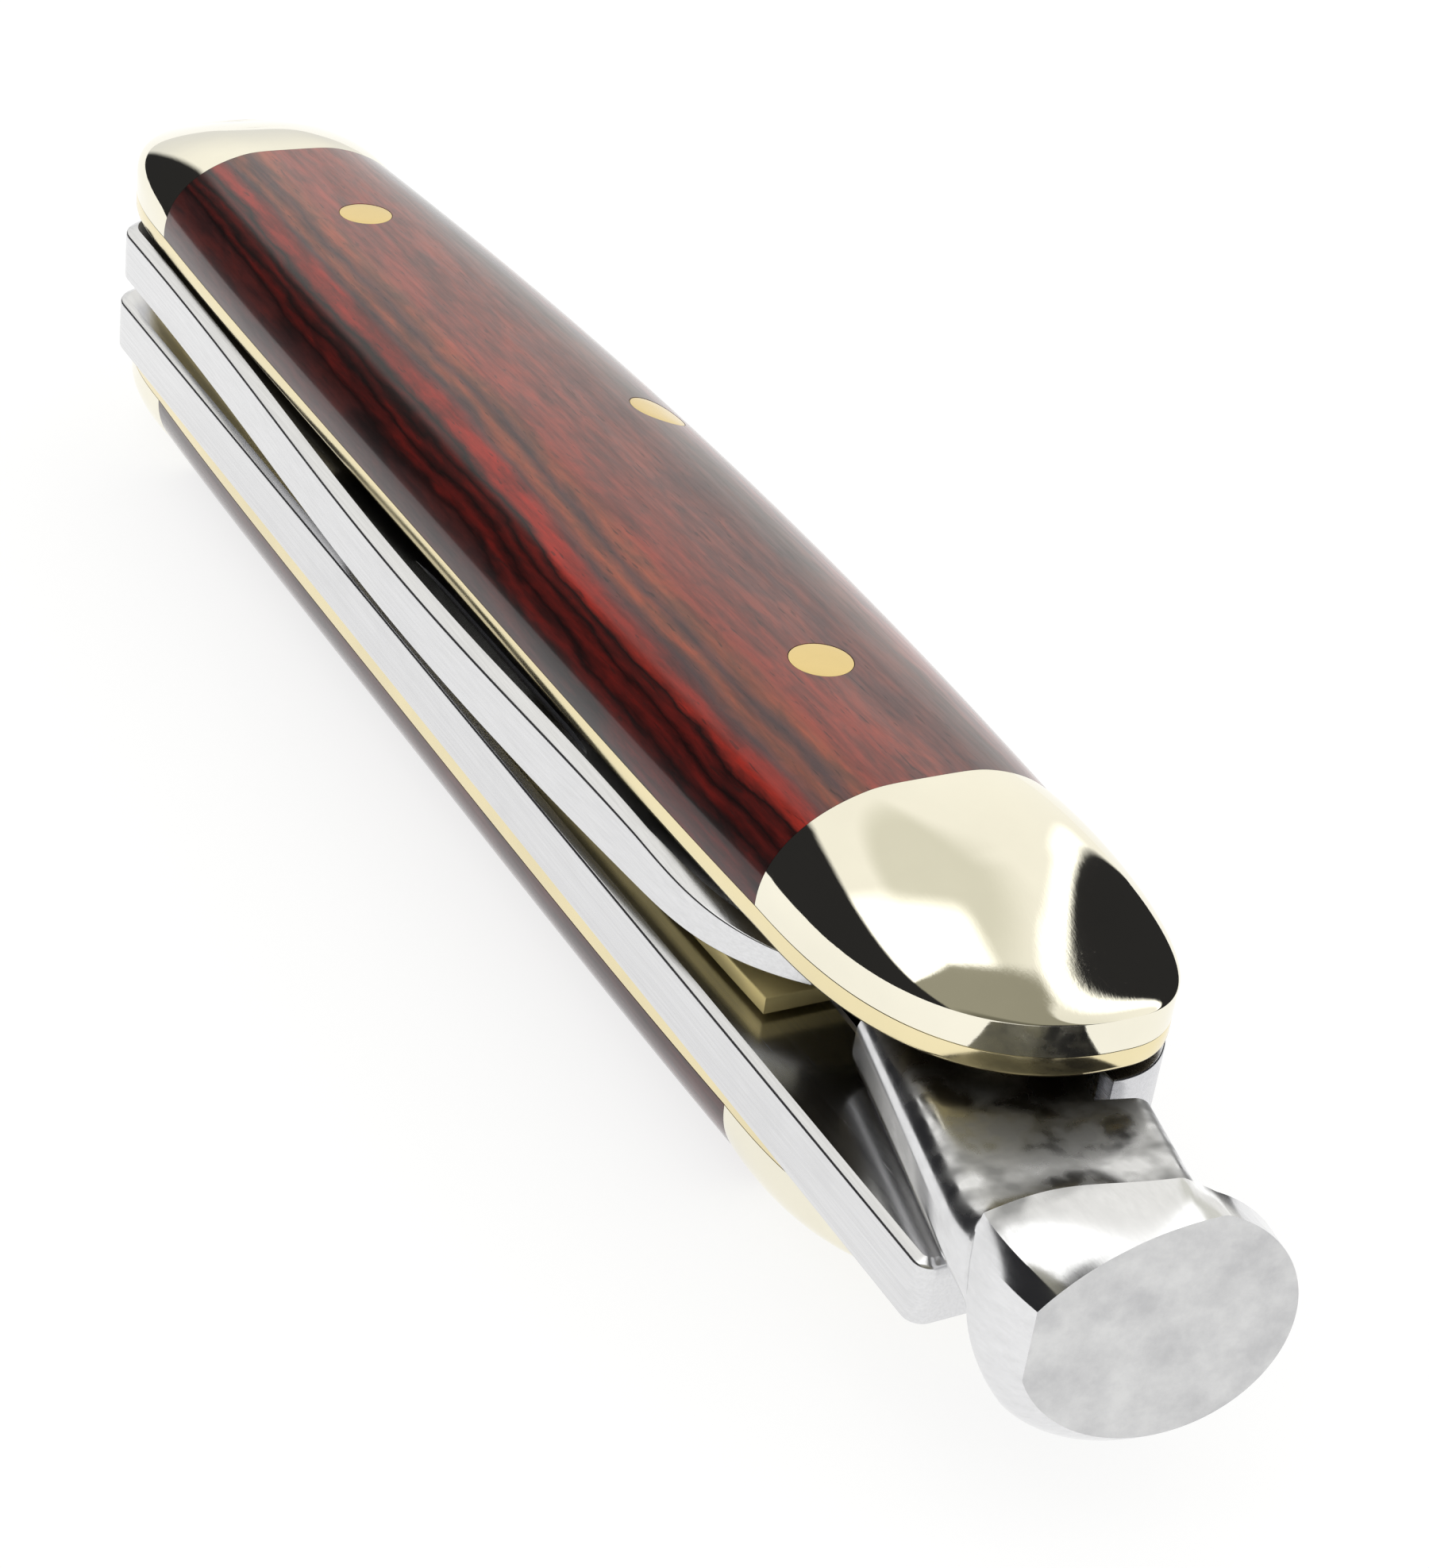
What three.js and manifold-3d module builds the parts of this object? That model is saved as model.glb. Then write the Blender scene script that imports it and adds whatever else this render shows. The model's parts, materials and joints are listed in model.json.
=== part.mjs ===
// Pipe smoker's folding pocket knife: two folding tools at the far end, a swivelling tamper at the near end.
// Millimetres. X runs along the handle towards the tamper, Y from the cutting side (belly, minus)
// to the spring side (back, plus), Z up. The origin is the centre of the flat that the knife lies on.
import * as THREE from 'three';
import { mergeVertices } from 'three/addons/utils/BufferGeometryUtils.js';
import Module from 'manifold-3d';

const wasm = await Module();
wasm.setup();

// Driving sizes of the handle
const handleLength = 82;
const bolsterLength = 11.2;
const bellyDepth = 7.2;
const bellyRise = 0.25;
const spineHeight = 6.98;
const spineDrop = 1.42;
const noseTipY = 0.9;
const noseFullness = 2.6;
const noseBluntness = 2.32;

// Thicknesses and heights, from the middle plane of the handle outwards
const slotReach = 3.35;
const linerThickness = 0.9;
const domeHeight = 3.99;
const domePower = 2.2;
const domeRaise = 1.03;
const noseBand = 1.25;
const bandGrowth = 0.6;
const crestFall = 2.07;
const crestHollow = 1.25;

// The centre liner and the two layers of tools beside it
const centreLinerTop = 0.3;
const centreLinerThickness = 0.7;
const centreLinerRecess = 0.9;
const centreLinerSetback = 11;
const layerGap = 0.2;
const toolStock = 2.5;

// Pins and pivots
const pinRadius = 1.2;
const pinFit = 0.06;
const pivotFit = 0.09;
const pivotInset = 3.4;
const pivotY = -1.55;
const pivotPinReach = 5.8;
const boreRelief = 0.1;
const scalePinInset = 8.3;
const scalePinY = -0.3;
const springPinY = 4.0;
const springEndPinInset = 8.4;
const springEndPinRadius = 0.7;
const springEndPinSink = 1.5;

// Tangs and springs
const tangRadius = 3.1;
const springGap = 0.3;
const springDepth = 4.9;
const springPadHalf = 6;
const springPadCover = 1.1;
const springTipLean = 0.02;
const backArmReach = 2.5;
const heelReach = 2.1;
const heelRadius = 2.0;
const springTipY = 0.6;

// Knife blade
const bladeSpineY = -7.4;
const bladeCrown = 0.95;
const crownLean = 1.29;
const bladeEdgeY = 0.35;
const bladeTipY = -4.9;
const bladeTipInset = 10.1;
const bladeTipWidth = 0.25;
const tangPlateLength = 16.6;
const ricassoReach = 30.6;
const plungeRun = 1.1;
const spineStrip = 0.6;
const spineBevelRun = 0.55;
const spineBevelDrop = 0.3;
const edgeThickness = 0.16;
const tipDrop = 8.5;
const tipCurve = 3.2;
const edgeCurveLength = 17.8;
const edgeCurve = 2.6;
const tipThinning = 0.55;
const nickFromTip = 30.4;
const nickLength = 17;
const nickWidth = 1.3;
const nickFromSpine = 1.2;
const nickDepth = 0.7;
const nickEndRise = 0.6;
const nickEndRun = 1;

// Spoon tool, the long scraper under the blade
const spoonSpineY = -7.6;
const spoonOverhang = 2.5;
const spoonTangLength = 8.1;
const spoonWidthAtTang = 7.4;
const spoonWidthAtEnd = 4.2;
const spoonBevel = 0.3;
const spoonEndRadius = 0.9;
const scoopRadius = 7.5;
const scoopDepth = 0.55;
const scoopLength = 31.8;
const scoopInset = 5.7;
const scoopAcross = 2.6;

// Tamper, sizes along its own arm from the pivot
const tamperSwing = -14;
const tamperReach = 12;
const tamperThickness = 2.95;
const tamperFloor = -0.35;
const tangHeel = 2.5;
const tangHeelWaist = 1.2;
const armBelly = 4.2;
const armBellyRounding = 1.1;
const armSpine = 4.3;
const armSpineRounding = 0.8;
const shoulderGap = 0.1;
const footRadius = 4.5;
const footOffset = 1.5;
const footHeight = 0.65;
const footBelly = 2.65;
const headRadius = 5;
const headOffset = 1.15;
const headHeight = 0.2;
const headSlope = 1.6;
const headCurve = 1.5;
const headRim = 0.1;
const browHeight = 4.36;
const browSlope = 0.4;
const bellyCurveStart = 9.3;
const topScoopStart = 6.6;
const lowScoopStart = 8.2;
const neckStart = 7;

// Places worked out from those sizes
const halfLength = handleLength / 2;
const junctionX = halfLength - bolsterLength;
const scalePinX = junctionX - scalePinInset;
const linerTop = slotReach + linerThickness;
const restHeight = linerTop + domeHeight;
const centreLinerFloor = centreLinerTop - centreLinerThickness;
const upperFloor = centreLinerTop + layerGap;
const upperTop = upperFloor + toolStock;
const lowerTop = centreLinerFloor - layerGap;
const lowerFloor = lowerTop - toolStock;
const farPivot = new THREE.Vector2(-(halfLength - pivotInset), pivotY);
const nearPivot = new THREE.Vector2(halfLength - pivotInset, pivotY);
const springSeatY = pivotY + tangRadius + springGap;
const centreLinerEndX = halfLength - centreLinerSetback;
const bladeTipX = halfLength - bladeTipInset;
const tangPlateEndX = farPivot.x + tangPlateLength;
const ricassoEndX = farPivot.x + ricassoReach;
const nickStart = bladeTipX - nickFromTip;
const spoonEndX = halfLength + spoonOverhang;
const headBack = tamperReach - headSlope;
const neckEnd = headBack - headRim;

// Finishes
const finishes = {
  rosewood: new THREE.MeshStandardMaterial({ color: 0x6b2117, roughness: 0.28, metalness: 0 }),
  nickelSilver: new THREE.MeshStandardMaterial({ color: 0xdedac4, roughness: 0.12, metalness: 1 }),
  brass: new THREE.MeshStandardMaterial({ color: 0xd9b866, roughness: 0.3, metalness: 1 }),
  steel: new THREE.MeshStandardMaterial({ color: 0xc9c9cd, roughness: 0.25, metalness: 1 }),
  springSteel: new THREE.MeshStandardMaterial({ color: 0x9a9a9e, roughness: 0.35, metalness: 1 }),
};

// Solids: joining and cutting closed meshes

function solidFrom(geometry) {
  const bare = geometry.index ? geometry.toNonIndexed() : geometry.clone();
  bare.deleteAttribute('normal');
  bare.deleteAttribute('uv');
  const merged = mergeVertices(bare, 1e-5);
  const corners = merged.index.array;
  const kept = [];
  for (let i = 0; i < corners.length; i += 3) {
    const [a, b, c] = [corners[i], corners[i + 1], corners[i + 2]];
    if (a !== b && b !== c && c !== a) kept.push(a, b, c);
  }
  return new wasm.Manifold(new wasm.Mesh({
    numProp: 3,
    vertProperties: merged.attributes.position.array,
    triVerts: new Uint32Array(kept),
  }));
}

function geometryFrom(solid) {
  const mesh = solid.getMesh();
  const geometry = new THREE.BufferGeometry();
  geometry.setAttribute('position', new THREE.BufferAttribute(new Float32Array(mesh.vertProperties), 3));
  geometry.setIndex(new THREE.BufferAttribute(new Uint32Array(mesh.triVerts), 1));
  geometry.computeVertexNormals();
  return geometry;
}

function cutAll(solid, cutters) {
  return cutters.reduce((rest, cutter) => rest.subtract(cutter), solid);
}

function plate(points, low, high) {
  const shape = new THREE.Shape(points);
  const geometry = new THREE.ExtrudeGeometry(shape, { depth: high - low, bevelEnabled: false });
  geometry.translate(0, 0, low);
  return solidFrom(geometry);
}

function rod(x, y, radius, low, high) {
  const geometry = new THREE.CylinderGeometry(radius, radius, high - low, 24);
  geometry.rotateX(Math.PI / 2);
  geometry.translate(x, y, (low + high) / 2);
  return solidFrom(geometry);
}

function block(low, high) {
  const size = high.clone().sub(low);
  const middle = high.clone().add(low).multiplyScalar(0.5);
  const geometry = new THREE.BoxGeometry(size.x, size.y, size.z);
  geometry.translate(middle.x, middle.y, middle.z);
  return solidFrom(geometry);
}

// A closed skin over rings of equal count, capped at both ends; flatten gives a ring's outline for its cap.
function loft(rings, flatten) {
  const positions = [];
  const addTriangle = (a, b, c) => positions.push(...a.toArray(), ...b.toArray(), ...c.toArray());
  for (let i = 0; i + 1 < rings.length; i += 1) {
    const [from, to] = [rings[i], rings[i + 1]];
    for (let j = 0; j < from.length; j += 1) {
      const next = (j + 1) % from.length;
      addTriangle(from[j], from[next], to[next]);
      addTriangle(from[j], to[next], to[j]);
    }
  }
  const capEnd = (ring, outward) => {
    for (const [a, b, c] of THREE.ShapeUtils.triangulateShape(ring.map(flatten), [])) {
      if (outward) addTriangle(ring[a], ring[b], ring[c]);
      else addTriangle(ring[c], ring[b], ring[a]);
    }
  };
  capEnd(rings[0], false);
  capEnd(rings[rings.length - 1], true);
  const geometry = new THREE.BufferGeometry();
  geometry.setAttribute('position', new THREE.Float32BufferAttribute(positions, 3));
  return solidFrom(geometry);
}

const alongX = (point) => new THREE.Vector2(point.y, point.z);

// Handle outline in plan

function noseShare(x) {
  return Math.min(1, Math.max(0, (Math.abs(x) - junctionX) / bolsterLength));
}

function outlineAt(x) {
  const share = Math.min(1, Math.abs(x) / junctionX);
  const belly = -bellyDepth + bellyRise * share ** 4;
  const spine = spineHeight - spineDrop * share ** 2;
  const width = (1 - noseShare(x) ** noseFullness) ** (1 / noseBluntness);
  return { belly: noseTipY + (belly - noseTipY) * width, spine: noseTipY + (spine - noseTipY) * width };
}

const noseSteps = 13;
const nosePacking = 2.2;
const bodySteps = 9;

function noseStations() {
  return Array.from({ length: noseSteps + 1 }, (_, i) => (
    junctionX + bolsterLength * (1 - (1 - i / noseSteps) ** nosePacking)
  ));
}

function bodyStations(reach) {
  return Array.from({ length: 2 * bodySteps }, (_, i) => -reach + (2 * reach * i) / (2 * bodySteps - 1));
}

function handleStations() {
  const nose = noseStations();
  const far = nose.slice(1).map((x) => -x).reverse();
  return [...far, ...bodyStations(junctionX), ...nose.slice(1)];
}

function edgePoints(side, fromX, toX, inset = 0) {
  const towards = side === 'belly' ? 1 : -1;
  const inside = handleStations().filter((x) => x > fromX + 1e-6 && x < toX - 1e-6);
  return [fromX, ...inside, toX].map((x) => new THREE.Vector2(x, outlineAt(x)[side] + towards * inset));
}

// Scales and bolsters: the same domed section all along

function domeShape(across) {
  return Math.min(1, domeRaise * (1 - Math.abs(across) ** domePower) ** (1 / domePower));
}

const domeSteps = 18;

function domedRing(x, band, crest) {
  const { belly, spine } = outlineAt(x);
  const middle = (belly + spine) / 2;
  const halfWidth = (spine - belly) / 2;
  const ring = [new THREE.Vector3(x, spine, linerTop)];
  for (let i = 0; i <= domeSteps; i += 1) {
    const across = Math.cos((Math.PI * i) / domeSteps);
    const height = band + (crest - band) * domeShape(i === 0 || i === domeSteps ? 1 : across);
    ring.push(new THREE.Vector3(x, middle + halfWidth * across, linerTop + height));
  }
  ring.push(new THREE.Vector3(x, belly, linerTop));
  return ring;
}

function scaleBody() {
  return loft(bodyStations(junctionX).map((x) => domedRing(x, 0, domeHeight)), alongX);
}

function bolsterBody() {
  const rings = noseStations().map((x) => {
    const share = noseShare(x);
    const band = noseBand * share ** bandGrowth;
    const crest = noseBand + (domeHeight - noseBand) * (1 - share ** crestFall) ** crestHollow;
    return domedRing(x, band, crest);
  });
  return loft(rings, alongX);
}

// A piece made for the upper near corner is mirrored to the far end or to the underside.
function mirrored(solid, flips) {
  return flips.reduce((piece, normal) => piece.mirror(normal), solid);
}

const farSide = [1, 0, 0];
const underside = [0, 0, 1];

// Liners

function linerOutline() {
  const belly = edgePoints('belly', -halfLength, halfLength);
  const spine = edgePoints('spine', -halfLength, halfLength).reverse();
  return [...belly, ...spine.slice(1, -1)];
}

function centreLinerOutline() {
  const armRoot = springSeatY + springGap;
  const armEndX = nearPivot.x + backArmReach;
  const farEnd = -halfLength + layerGap;
  const belly = edgePoints('belly', farEnd, centreLinerEndX, centreLinerRecess)
    .filter((point) => point.y < outlineAt(point.x).spine);
  const spine = edgePoints('spine', farEnd, armEndX).reverse();
  const step = [new THREE.Vector2(centreLinerEndX, armRoot), new THREE.Vector2(armEndX, armRoot)];
  return [...belly, ...step, ...spine.slice(0, -1)];
}

// Springs along the back

function arcAround(centre, radius, fromAngle, toAngle, steps) {
  return Array.from({ length: steps + 1 }, (_, i) => {
    const angle = fromAngle + ((toAngle - fromAngle) * i) / steps;
    return new THREE.Vector2(centre.x + radius * Math.cos(angle), centre.y + radius * Math.sin(angle));
  });
}

const springFarX = farPivot.x - heelReach + springGap;

function springInnerEdge(fromX) {
  const padY = springPinY - pinRadius - springPadCover;
  const leanX = junctionX / 2;
  const waistY = spineHeight - springDepth;
  return [
    new THREE.Vector2(fromX, springSeatY),
    new THREE.Vector2(leanX, waistY),
    new THREE.Vector2(springPadHalf, padY),
    new THREE.Vector2(-springPadHalf, padY),
    new THREE.Vector2(-leanX, waistY),
    new THREE.Vector2(farPivot.x + tangRadius, springSeatY),
    new THREE.Vector2(springFarX, springSeatY),
  ];
}

function upperSpringOutline() {
  const seatRadius = tangRadius + springGap;
  const tipAngle = Math.asin((springTipY - nearPivot.y) / seatRadius);
  const nearSeat = arcAround(nearPivot, seatRadius, tipAngle, Math.PI / 2, 7);
  const spine = edgePoints('spine', springFarX, halfLength);
  const tip = new THREE.Vector2(halfLength - springTipLean, springTipY);
  return [...spine, tip, ...nearSeat, ...springInnerEdge(nearPivot.x - tangRadius)];
}

function lowerSpringOutline() {
  const nearX = nearPivot.x + backArmReach;
  const spine = edgePoints('spine', springFarX, nearX);
  return [...spine, ...springInnerEdge(nearX)];
}

// Folding tools at the far end share one tang

function tangOutline(spineY, innerY, endX) {
  const heelX = farPivot.x + heelReach;
  const heelCentre = new THREE.Vector2(heelX + heelRadius, spineY + heelRadius);
  const heel = arcAround(heelCentre, heelRadius, -Math.PI / 2, -Math.PI, 6);
  const tangFrom = -Math.acos(heelReach / tangRadius);
  const shoulderRise = innerY - farPivot.y;
  const tangTo = -2 * Math.PI + Math.asin(shoulderRise / tangRadius);
  const tang = arcAround(farPivot, tangRadius, tangFrom, tangTo, 26);
  return [new THREE.Vector2(endX, spineY), ...heel, ...tang, new THREE.Vector2(endX, innerY)].reverse();
}

function bladeSpineAt(x) {
  const toTip = (x - farPivot.x) / (bladeTipX - farPivot.x);
  const crown = bladeCrown * Math.sin(Math.PI * toTip ** crownLean) ** 2;
  const nearTip = Math.max(0, (x - (bladeTipX - tipDrop)) / tipDrop);
  return bladeSpineY - crown + (bladeTipY - bladeSpineY) * nearTip ** tipCurve;
}

function tipShareAt(x) {
  return Math.max(0, (x - (bladeTipX - edgeCurveLength)) / edgeCurveLength);
}

function bladeEdgeAt(x) {
  return bladeEdgeY + (bladeTipY + bladeTipWidth - bladeEdgeY) * tipShareAt(x) ** edgeCurve;
}

const bladeMiddle = upperFloor + toolStock / 2;
const hollowPlace = 0.45;
const hollowThickness = 0.42;

// One section of the ground blade: full stock at the spine, thin at the edge; ground goes from 0 to 1.
function bladeRing(x, ground) {
  const spine = bladeSpineAt(x);
  const edge = bladeEdgeAt(x);
  const half = (toolStock / 2) * (1 - tipThinning * tipShareAt(x) ** 2);
  const strip = Math.min(spineStrip, (edge - spine) / 2);
  const bevelShare = Math.min(1, strip / spineStrip, half / (toolStock / 2));
  const edgeHalf = THREE.MathUtils.lerp(half, edgeThickness / 2, ground);
  const hollowY = THREE.MathUtils.lerp(spine + strip, edge, hollowPlace);
  const hollowHalf = THREE.MathUtils.lerp(half, half * hollowThickness, ground);
  const section = [
    [spine, bladeMiddle - half],
    [spine + strip, bladeMiddle - half],
    [hollowY, bladeMiddle - hollowHalf],
    [edge, bladeMiddle - edgeHalf],
    [edge, bladeMiddle + edgeHalf],
    [hollowY, bladeMiddle + hollowHalf],
    [spine + strip, bladeMiddle + half],
    [spine + spineBevelRun * bevelShare, bladeMiddle + half],
    [spine, bladeMiddle + half - spineBevelDrop * bevelShare],
  ];
  return section.map(([y, z]) => new THREE.Vector3(x, y, z));
}

function pivotHole(centre) {
  return rod(centre.x, centre.y, pinRadius + pivotFit, -slotReach, slotReach);
}

// The nail nick is a long shallow pull: a slanted blade-shaped cutter near the spine.
function nailNick() {
  const y = bladeSpineAt(nickStart + nickLength / 2) + nickFromSpine;
  const top = upperTop + nickDepth;
  const ring = (x, rise) => [
    new THREE.Vector3(x, y, upperTop - nickDepth + rise),
    new THREE.Vector3(x, y + nickWidth, top),
    new THREE.Vector3(x, y, top),
  ];
  const nickEnd = nickStart + nickLength;
  return loft([
    ring(nickStart, nickEndRise),
    ring(nickStart + nickEndRun, 0),
    ring(nickEnd - nickEndRun, 0),
    ring(nickEnd, nickEndRise),
  ], alongX);
}

function knifeBlade() {
  const tang = plate(tangOutline(bladeSpineY, bladeEdgeY, tangPlateEndX), upperFloor, upperTop);
  const weld = 0.5;
  const stations = [[tangPlateEndX - weld, 0]];
  const plainSteps = 6;
  for (let i = 1; i <= plainSteps; i += 1) {
    stations.push([THREE.MathUtils.lerp(tangPlateEndX, ricassoEndX, i / plainSteps), 0]);
  }
  const plungeSteps = 2;
  for (let i = 1; i <= plungeSteps; i += 1) {
    const share = i / plungeSteps;
    stations.push([ricassoEndX + plungeRun * share, Math.sin((Math.PI / 2) * share)]);
  }
  const groundSteps = 16;
  for (let i = 1; i <= groundSteps; i += 1) {
    const share = 1 - (1 - i / groundSteps) ** 1.5;
    stations.push([THREE.MathUtils.lerp(ricassoEndX + plungeRun, bladeTipX, share), 1]);
  }
  const body = loft(stations.map(([x, ground]) => bladeRing(x, ground)), alongX);
  return cutAll(tang.add(body), [pivotHole(farPivot), nailNick()]);
}

function spoonTool() {
  const tangEndX = farPivot.x + spoonTangLength;
  const innerAtTang = spoonSpineY + spoonWidthAtTang;
  const innerAtEnd = spoonSpineY + spoonWidthAtEnd;
  const corner = new THREE.Vector2(spoonEndX - spoonEndRadius, innerAtEnd - spoonEndRadius);
  const outlineWith = (bevel) => {
    const tang = tangOutline(spoonSpineY, innerAtTang, tangEndX);
    const start = tang.slice(1, -1);
    return [
      ...start,
      new THREE.Vector2(tangEndX, spoonSpineY + bevel),
      new THREE.Vector2(spoonEndX - bevel, spoonSpineY + bevel),
      ...arcAround(corner, spoonEndRadius - bevel / 2, 0, Math.PI / 2, 5),
      new THREE.Vector2(tangEndX, innerAtTang),
    ];
  };
  const ringAt = (z, bevel) => outlineWith(bevel).map((point) => new THREE.Vector3(point.x, point.y, z));
  const body = loft(
    [ringAt(lowerFloor, 0), ringAt(lowerTop - spoonBevel, 0), ringAt(lowerTop, spoonBevel)],
    (point) => new THREE.Vector2(point.x, point.y),
  );
  // A shallow scoop is ground along the underside of the working end.
  const scoop = new THREE.CylinderGeometry(scoopRadius, scoopRadius, scoopLength, 40);
  scoop.rotateZ(Math.PI / 2);
  const scoopMiddle = spoonEndX - scoopInset - scoopLength / 2;
  scoop.translate(scoopMiddle, spoonSpineY + scoopAcross, lowerFloor + scoopDepth - scoopRadius);
  return cutAll(body, [pivotHole(farPivot), solidFrom(scoop)]);
}

// Tamper, built straight along its own arm with the pivot at the local origin

function tamperPlan() {
  const shoulder = tangRadius + shoulderGap;
  const tangStart = Math.asin(armSpine / 2 / tangRadius);
  const tang = arcAround(new THREE.Vector2(0, 0), tangRadius, tangStart, Math.PI, 14);
  const bellySteps = 8;
  const belly = Array.from({ length: bellySteps + 1 }, (_, i) => {
    const angle = (Math.PI / 2) * (i / bellySteps);
    const a = bellyCurveStart + (tamperReach - bellyCurveStart) * Math.sin(angle);
    return new THREE.Vector2(a, -footBelly - (armBelly - footBelly) * Math.cos(angle));
  });
  const headSpine = headOffset + headRadius;
  const flareSteps = 8;
  const flare = Array.from({ length: flareSteps + 1 }, (_, i) => {
    const share = i / flareSteps;
    const a = neckStart + (neckEnd - neckStart) * share;
    return new THREE.Vector2(a, armSpine + (headSpine - armSpine) * share ** 2);
  });
  return [
    new THREE.Vector2(-tangHeel, -armBelly),
    ...belly,
    new THREE.Vector2(tamperReach, headSpine),
    ...flare.reverse(),
    new THREE.Vector2(shoulder, armSpine),
    new THREE.Vector2(shoulder, armSpine / 2),
    ...tang,
    new THREE.Vector2(-tangRadius, -tangHeelWaist),
  ];
}

// A concave quarter sweep from the flat of the arm out to the rim of the head.
function scoopEdge(start, end, flatZ, rimZ) {
  const steps = 10;
  return Array.from({ length: steps + 1 }, (_, i) => {
    const angle = (Math.PI / 2) * (i / steps);
    const a = start + (end - start) * Math.sin(angle);
    return new THREE.Vector2(a, flatZ + (rimZ - flatZ) * (1 - Math.cos(angle)));
  });
}

function tamperSide() {
  const top = tamperFloor + tamperThickness;
  const highRim = headHeight + headRadius;
  const lowRim = headHeight - headRadius;
  const back = -tangHeel - tangRadius;
  return [
    new THREE.Vector2(back, tamperFloor),
    ...scoopEdge(lowScoopStart, neckEnd, tamperFloor, lowRim),
    new THREE.Vector2(tamperReach, lowRim),
    new THREE.Vector2(tamperReach, highRim),
    ...scoopEdge(topScoopStart, neckEnd, top, highRim).reverse(),
    new THREE.Vector2(back, top),
  ];
}

// Section of the arm across its length, rounded at all four edges.
function armSection() {
  const top = tamperFloor + tamperThickness;
  const corner = (y, z, radius, turn) => arcAround(
    new THREE.Vector2(y, z), radius, turn, turn + Math.PI / 2, 5,
  );
  const bellyY = armBellyRounding - armBelly;
  const spineY = armSpine - armSpineRounding;
  return [
    ...corner(bellyY, tamperFloor + armBellyRounding, armBellyRounding, Math.PI),
    ...corner(spineY, tamperFloor + armSpineRounding, armSpineRounding, -Math.PI / 2),
    ...corner(spineY, top - armSpineRounding, armSpineRounding, 0),
    ...corner(bellyY, top - armBellyRounding, armBellyRounding, Math.PI / 2),
  ];
}

// The round head: a drum that slopes in to the smaller, slightly raised circle of the foot's face.
function tamperHead() {
  const points = 48;
  const slopeSteps = 6;
  const circle = (a, share) => {
    const y = THREE.MathUtils.lerp(footOffset, headOffset, share);
    const z = THREE.MathUtils.lerp(footHeight, headHeight, share);
    const radius = THREE.MathUtils.lerp(footRadius, headRadius, share);
    return Array.from({ length: points }, (_, i) => {
      const turn = (2 * Math.PI * i) / points;
      return new THREE.Vector3(a, y + radius * Math.cos(turn), z + radius * Math.sin(turn));
    });
  };
  const slope = Array.from({ length: slopeSteps + 1 }, (_, i) => {
    const share = i / slopeSteps;
    return circle(headBack + headSlope * share, 1 - share ** headCurve);
  });
  return loft([circle(neckStart, 1), ...slope], alongX);
}

// Turns a plate drawn across the arm so that its thickness runs along the arm.
function acrossArm(points, from, to) {
  const shape = new THREE.Shape(points);
  const geometry = new THREE.ExtrudeGeometry(shape, { depth: to - from, bevelEnabled: false });
  geometry.applyMatrix4(new THREE.Matrix4().makeBasis(
    new THREE.Vector3(0, 1, 0), new THREE.Vector3(0, 0, 1), new THREE.Vector3(1, 0, 0),
  ));
  geometry.translate(from, 0, 0);
  return solidFrom(geometry);
}

function tamperSolid() {
  const wide = headRadius * 3;
  const plan = plate(tamperPlan(), -wide, wide);
  const side = new THREE.ExtrudeGeometry(new THREE.Shape(tamperSide()), { depth: wide, bevelEnabled: false });
  side.rotateX(Math.PI / 2);
  side.translate(0, wide / 2, 0);
  const tangEnd = -tangHeel - tangRadius;
  const arm = acrossArm(armSection(), tangEnd, neckEnd);
  // The head is ground flat on top, falling towards the belly.
  const underBrow = acrossArm([
    new THREE.Vector2(-wide, -wide),
    new THREE.Vector2(wide, -wide),
    new THREE.Vector2(wide, browHeight + browSlope * wide),
    new THREE.Vector2(-wide, browHeight - browSlope * wide),
  ], tangEnd, tamperReach + headRim);
  const hole = rod(0, 0, pinRadius + pinFit, -slotReach, slotReach);
  const body = arm.add(tamperHead()).intersect(underBrow);
  return plan.intersect(solidFrom(side)).intersect(body).subtract(hole);
}

// Pins

function throughPin(x, y) {
  const upper = scaleBody();
  const lower = mirrored(scaleBody(), [underside]);
  const weld = 0.01;
  const reach = linerTop + weld;
  const side = pinRadius * 2;
  const low = new THREE.Vector3(x - side, y - side, -reach);
  const high = new THREE.Vector3(x + side, y + side, reach);
  const middle = block(low, high);
  return rod(x, y, pinRadius, -restHeight, restHeight).intersect(upper.add(middle).add(lower));
}

// Assembly

const knife = new THREE.Group();
knife.position.z = restHeight;

function add(name, solid, material, parent = knife) {
  const mesh = new THREE.Mesh(geometryFrom(solid), material);
  mesh.name = name;
  parent.add(mesh);
}

const deep = restHeight + 1;
const springPinHole = rod(0, springPinY, pinRadius + pinFit, -deep, deep);
const scalePinHole = (x) => rod(x, scalePinY, pinRadius + pinFit, -deep, deep);
const scalePinHoles = [scalePinHole(scalePinX), scalePinHole(-scalePinX)];
const boreReach = pivotPinReach + boreRelief;
const pivotBore = (centre) => rod(centre.x, centre.y, pinRadius + pinFit, -boreReach, boreReach);
const pivotBores = [pivotBore(farPivot), pivotBore(nearPivot)];
const springEndX = halfLength - springEndPinInset;
const springEndY = (outlineAt(springEndX).spine + springSeatY) / 2;
const springEndPinLow = -linerTop - springEndPinSink;
const springEndHole = rod(
  springEndX, springEndY, springEndPinRadius + pinFit, springEndPinLow - boreRelief, lowerTop + boreRelief,
);

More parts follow.
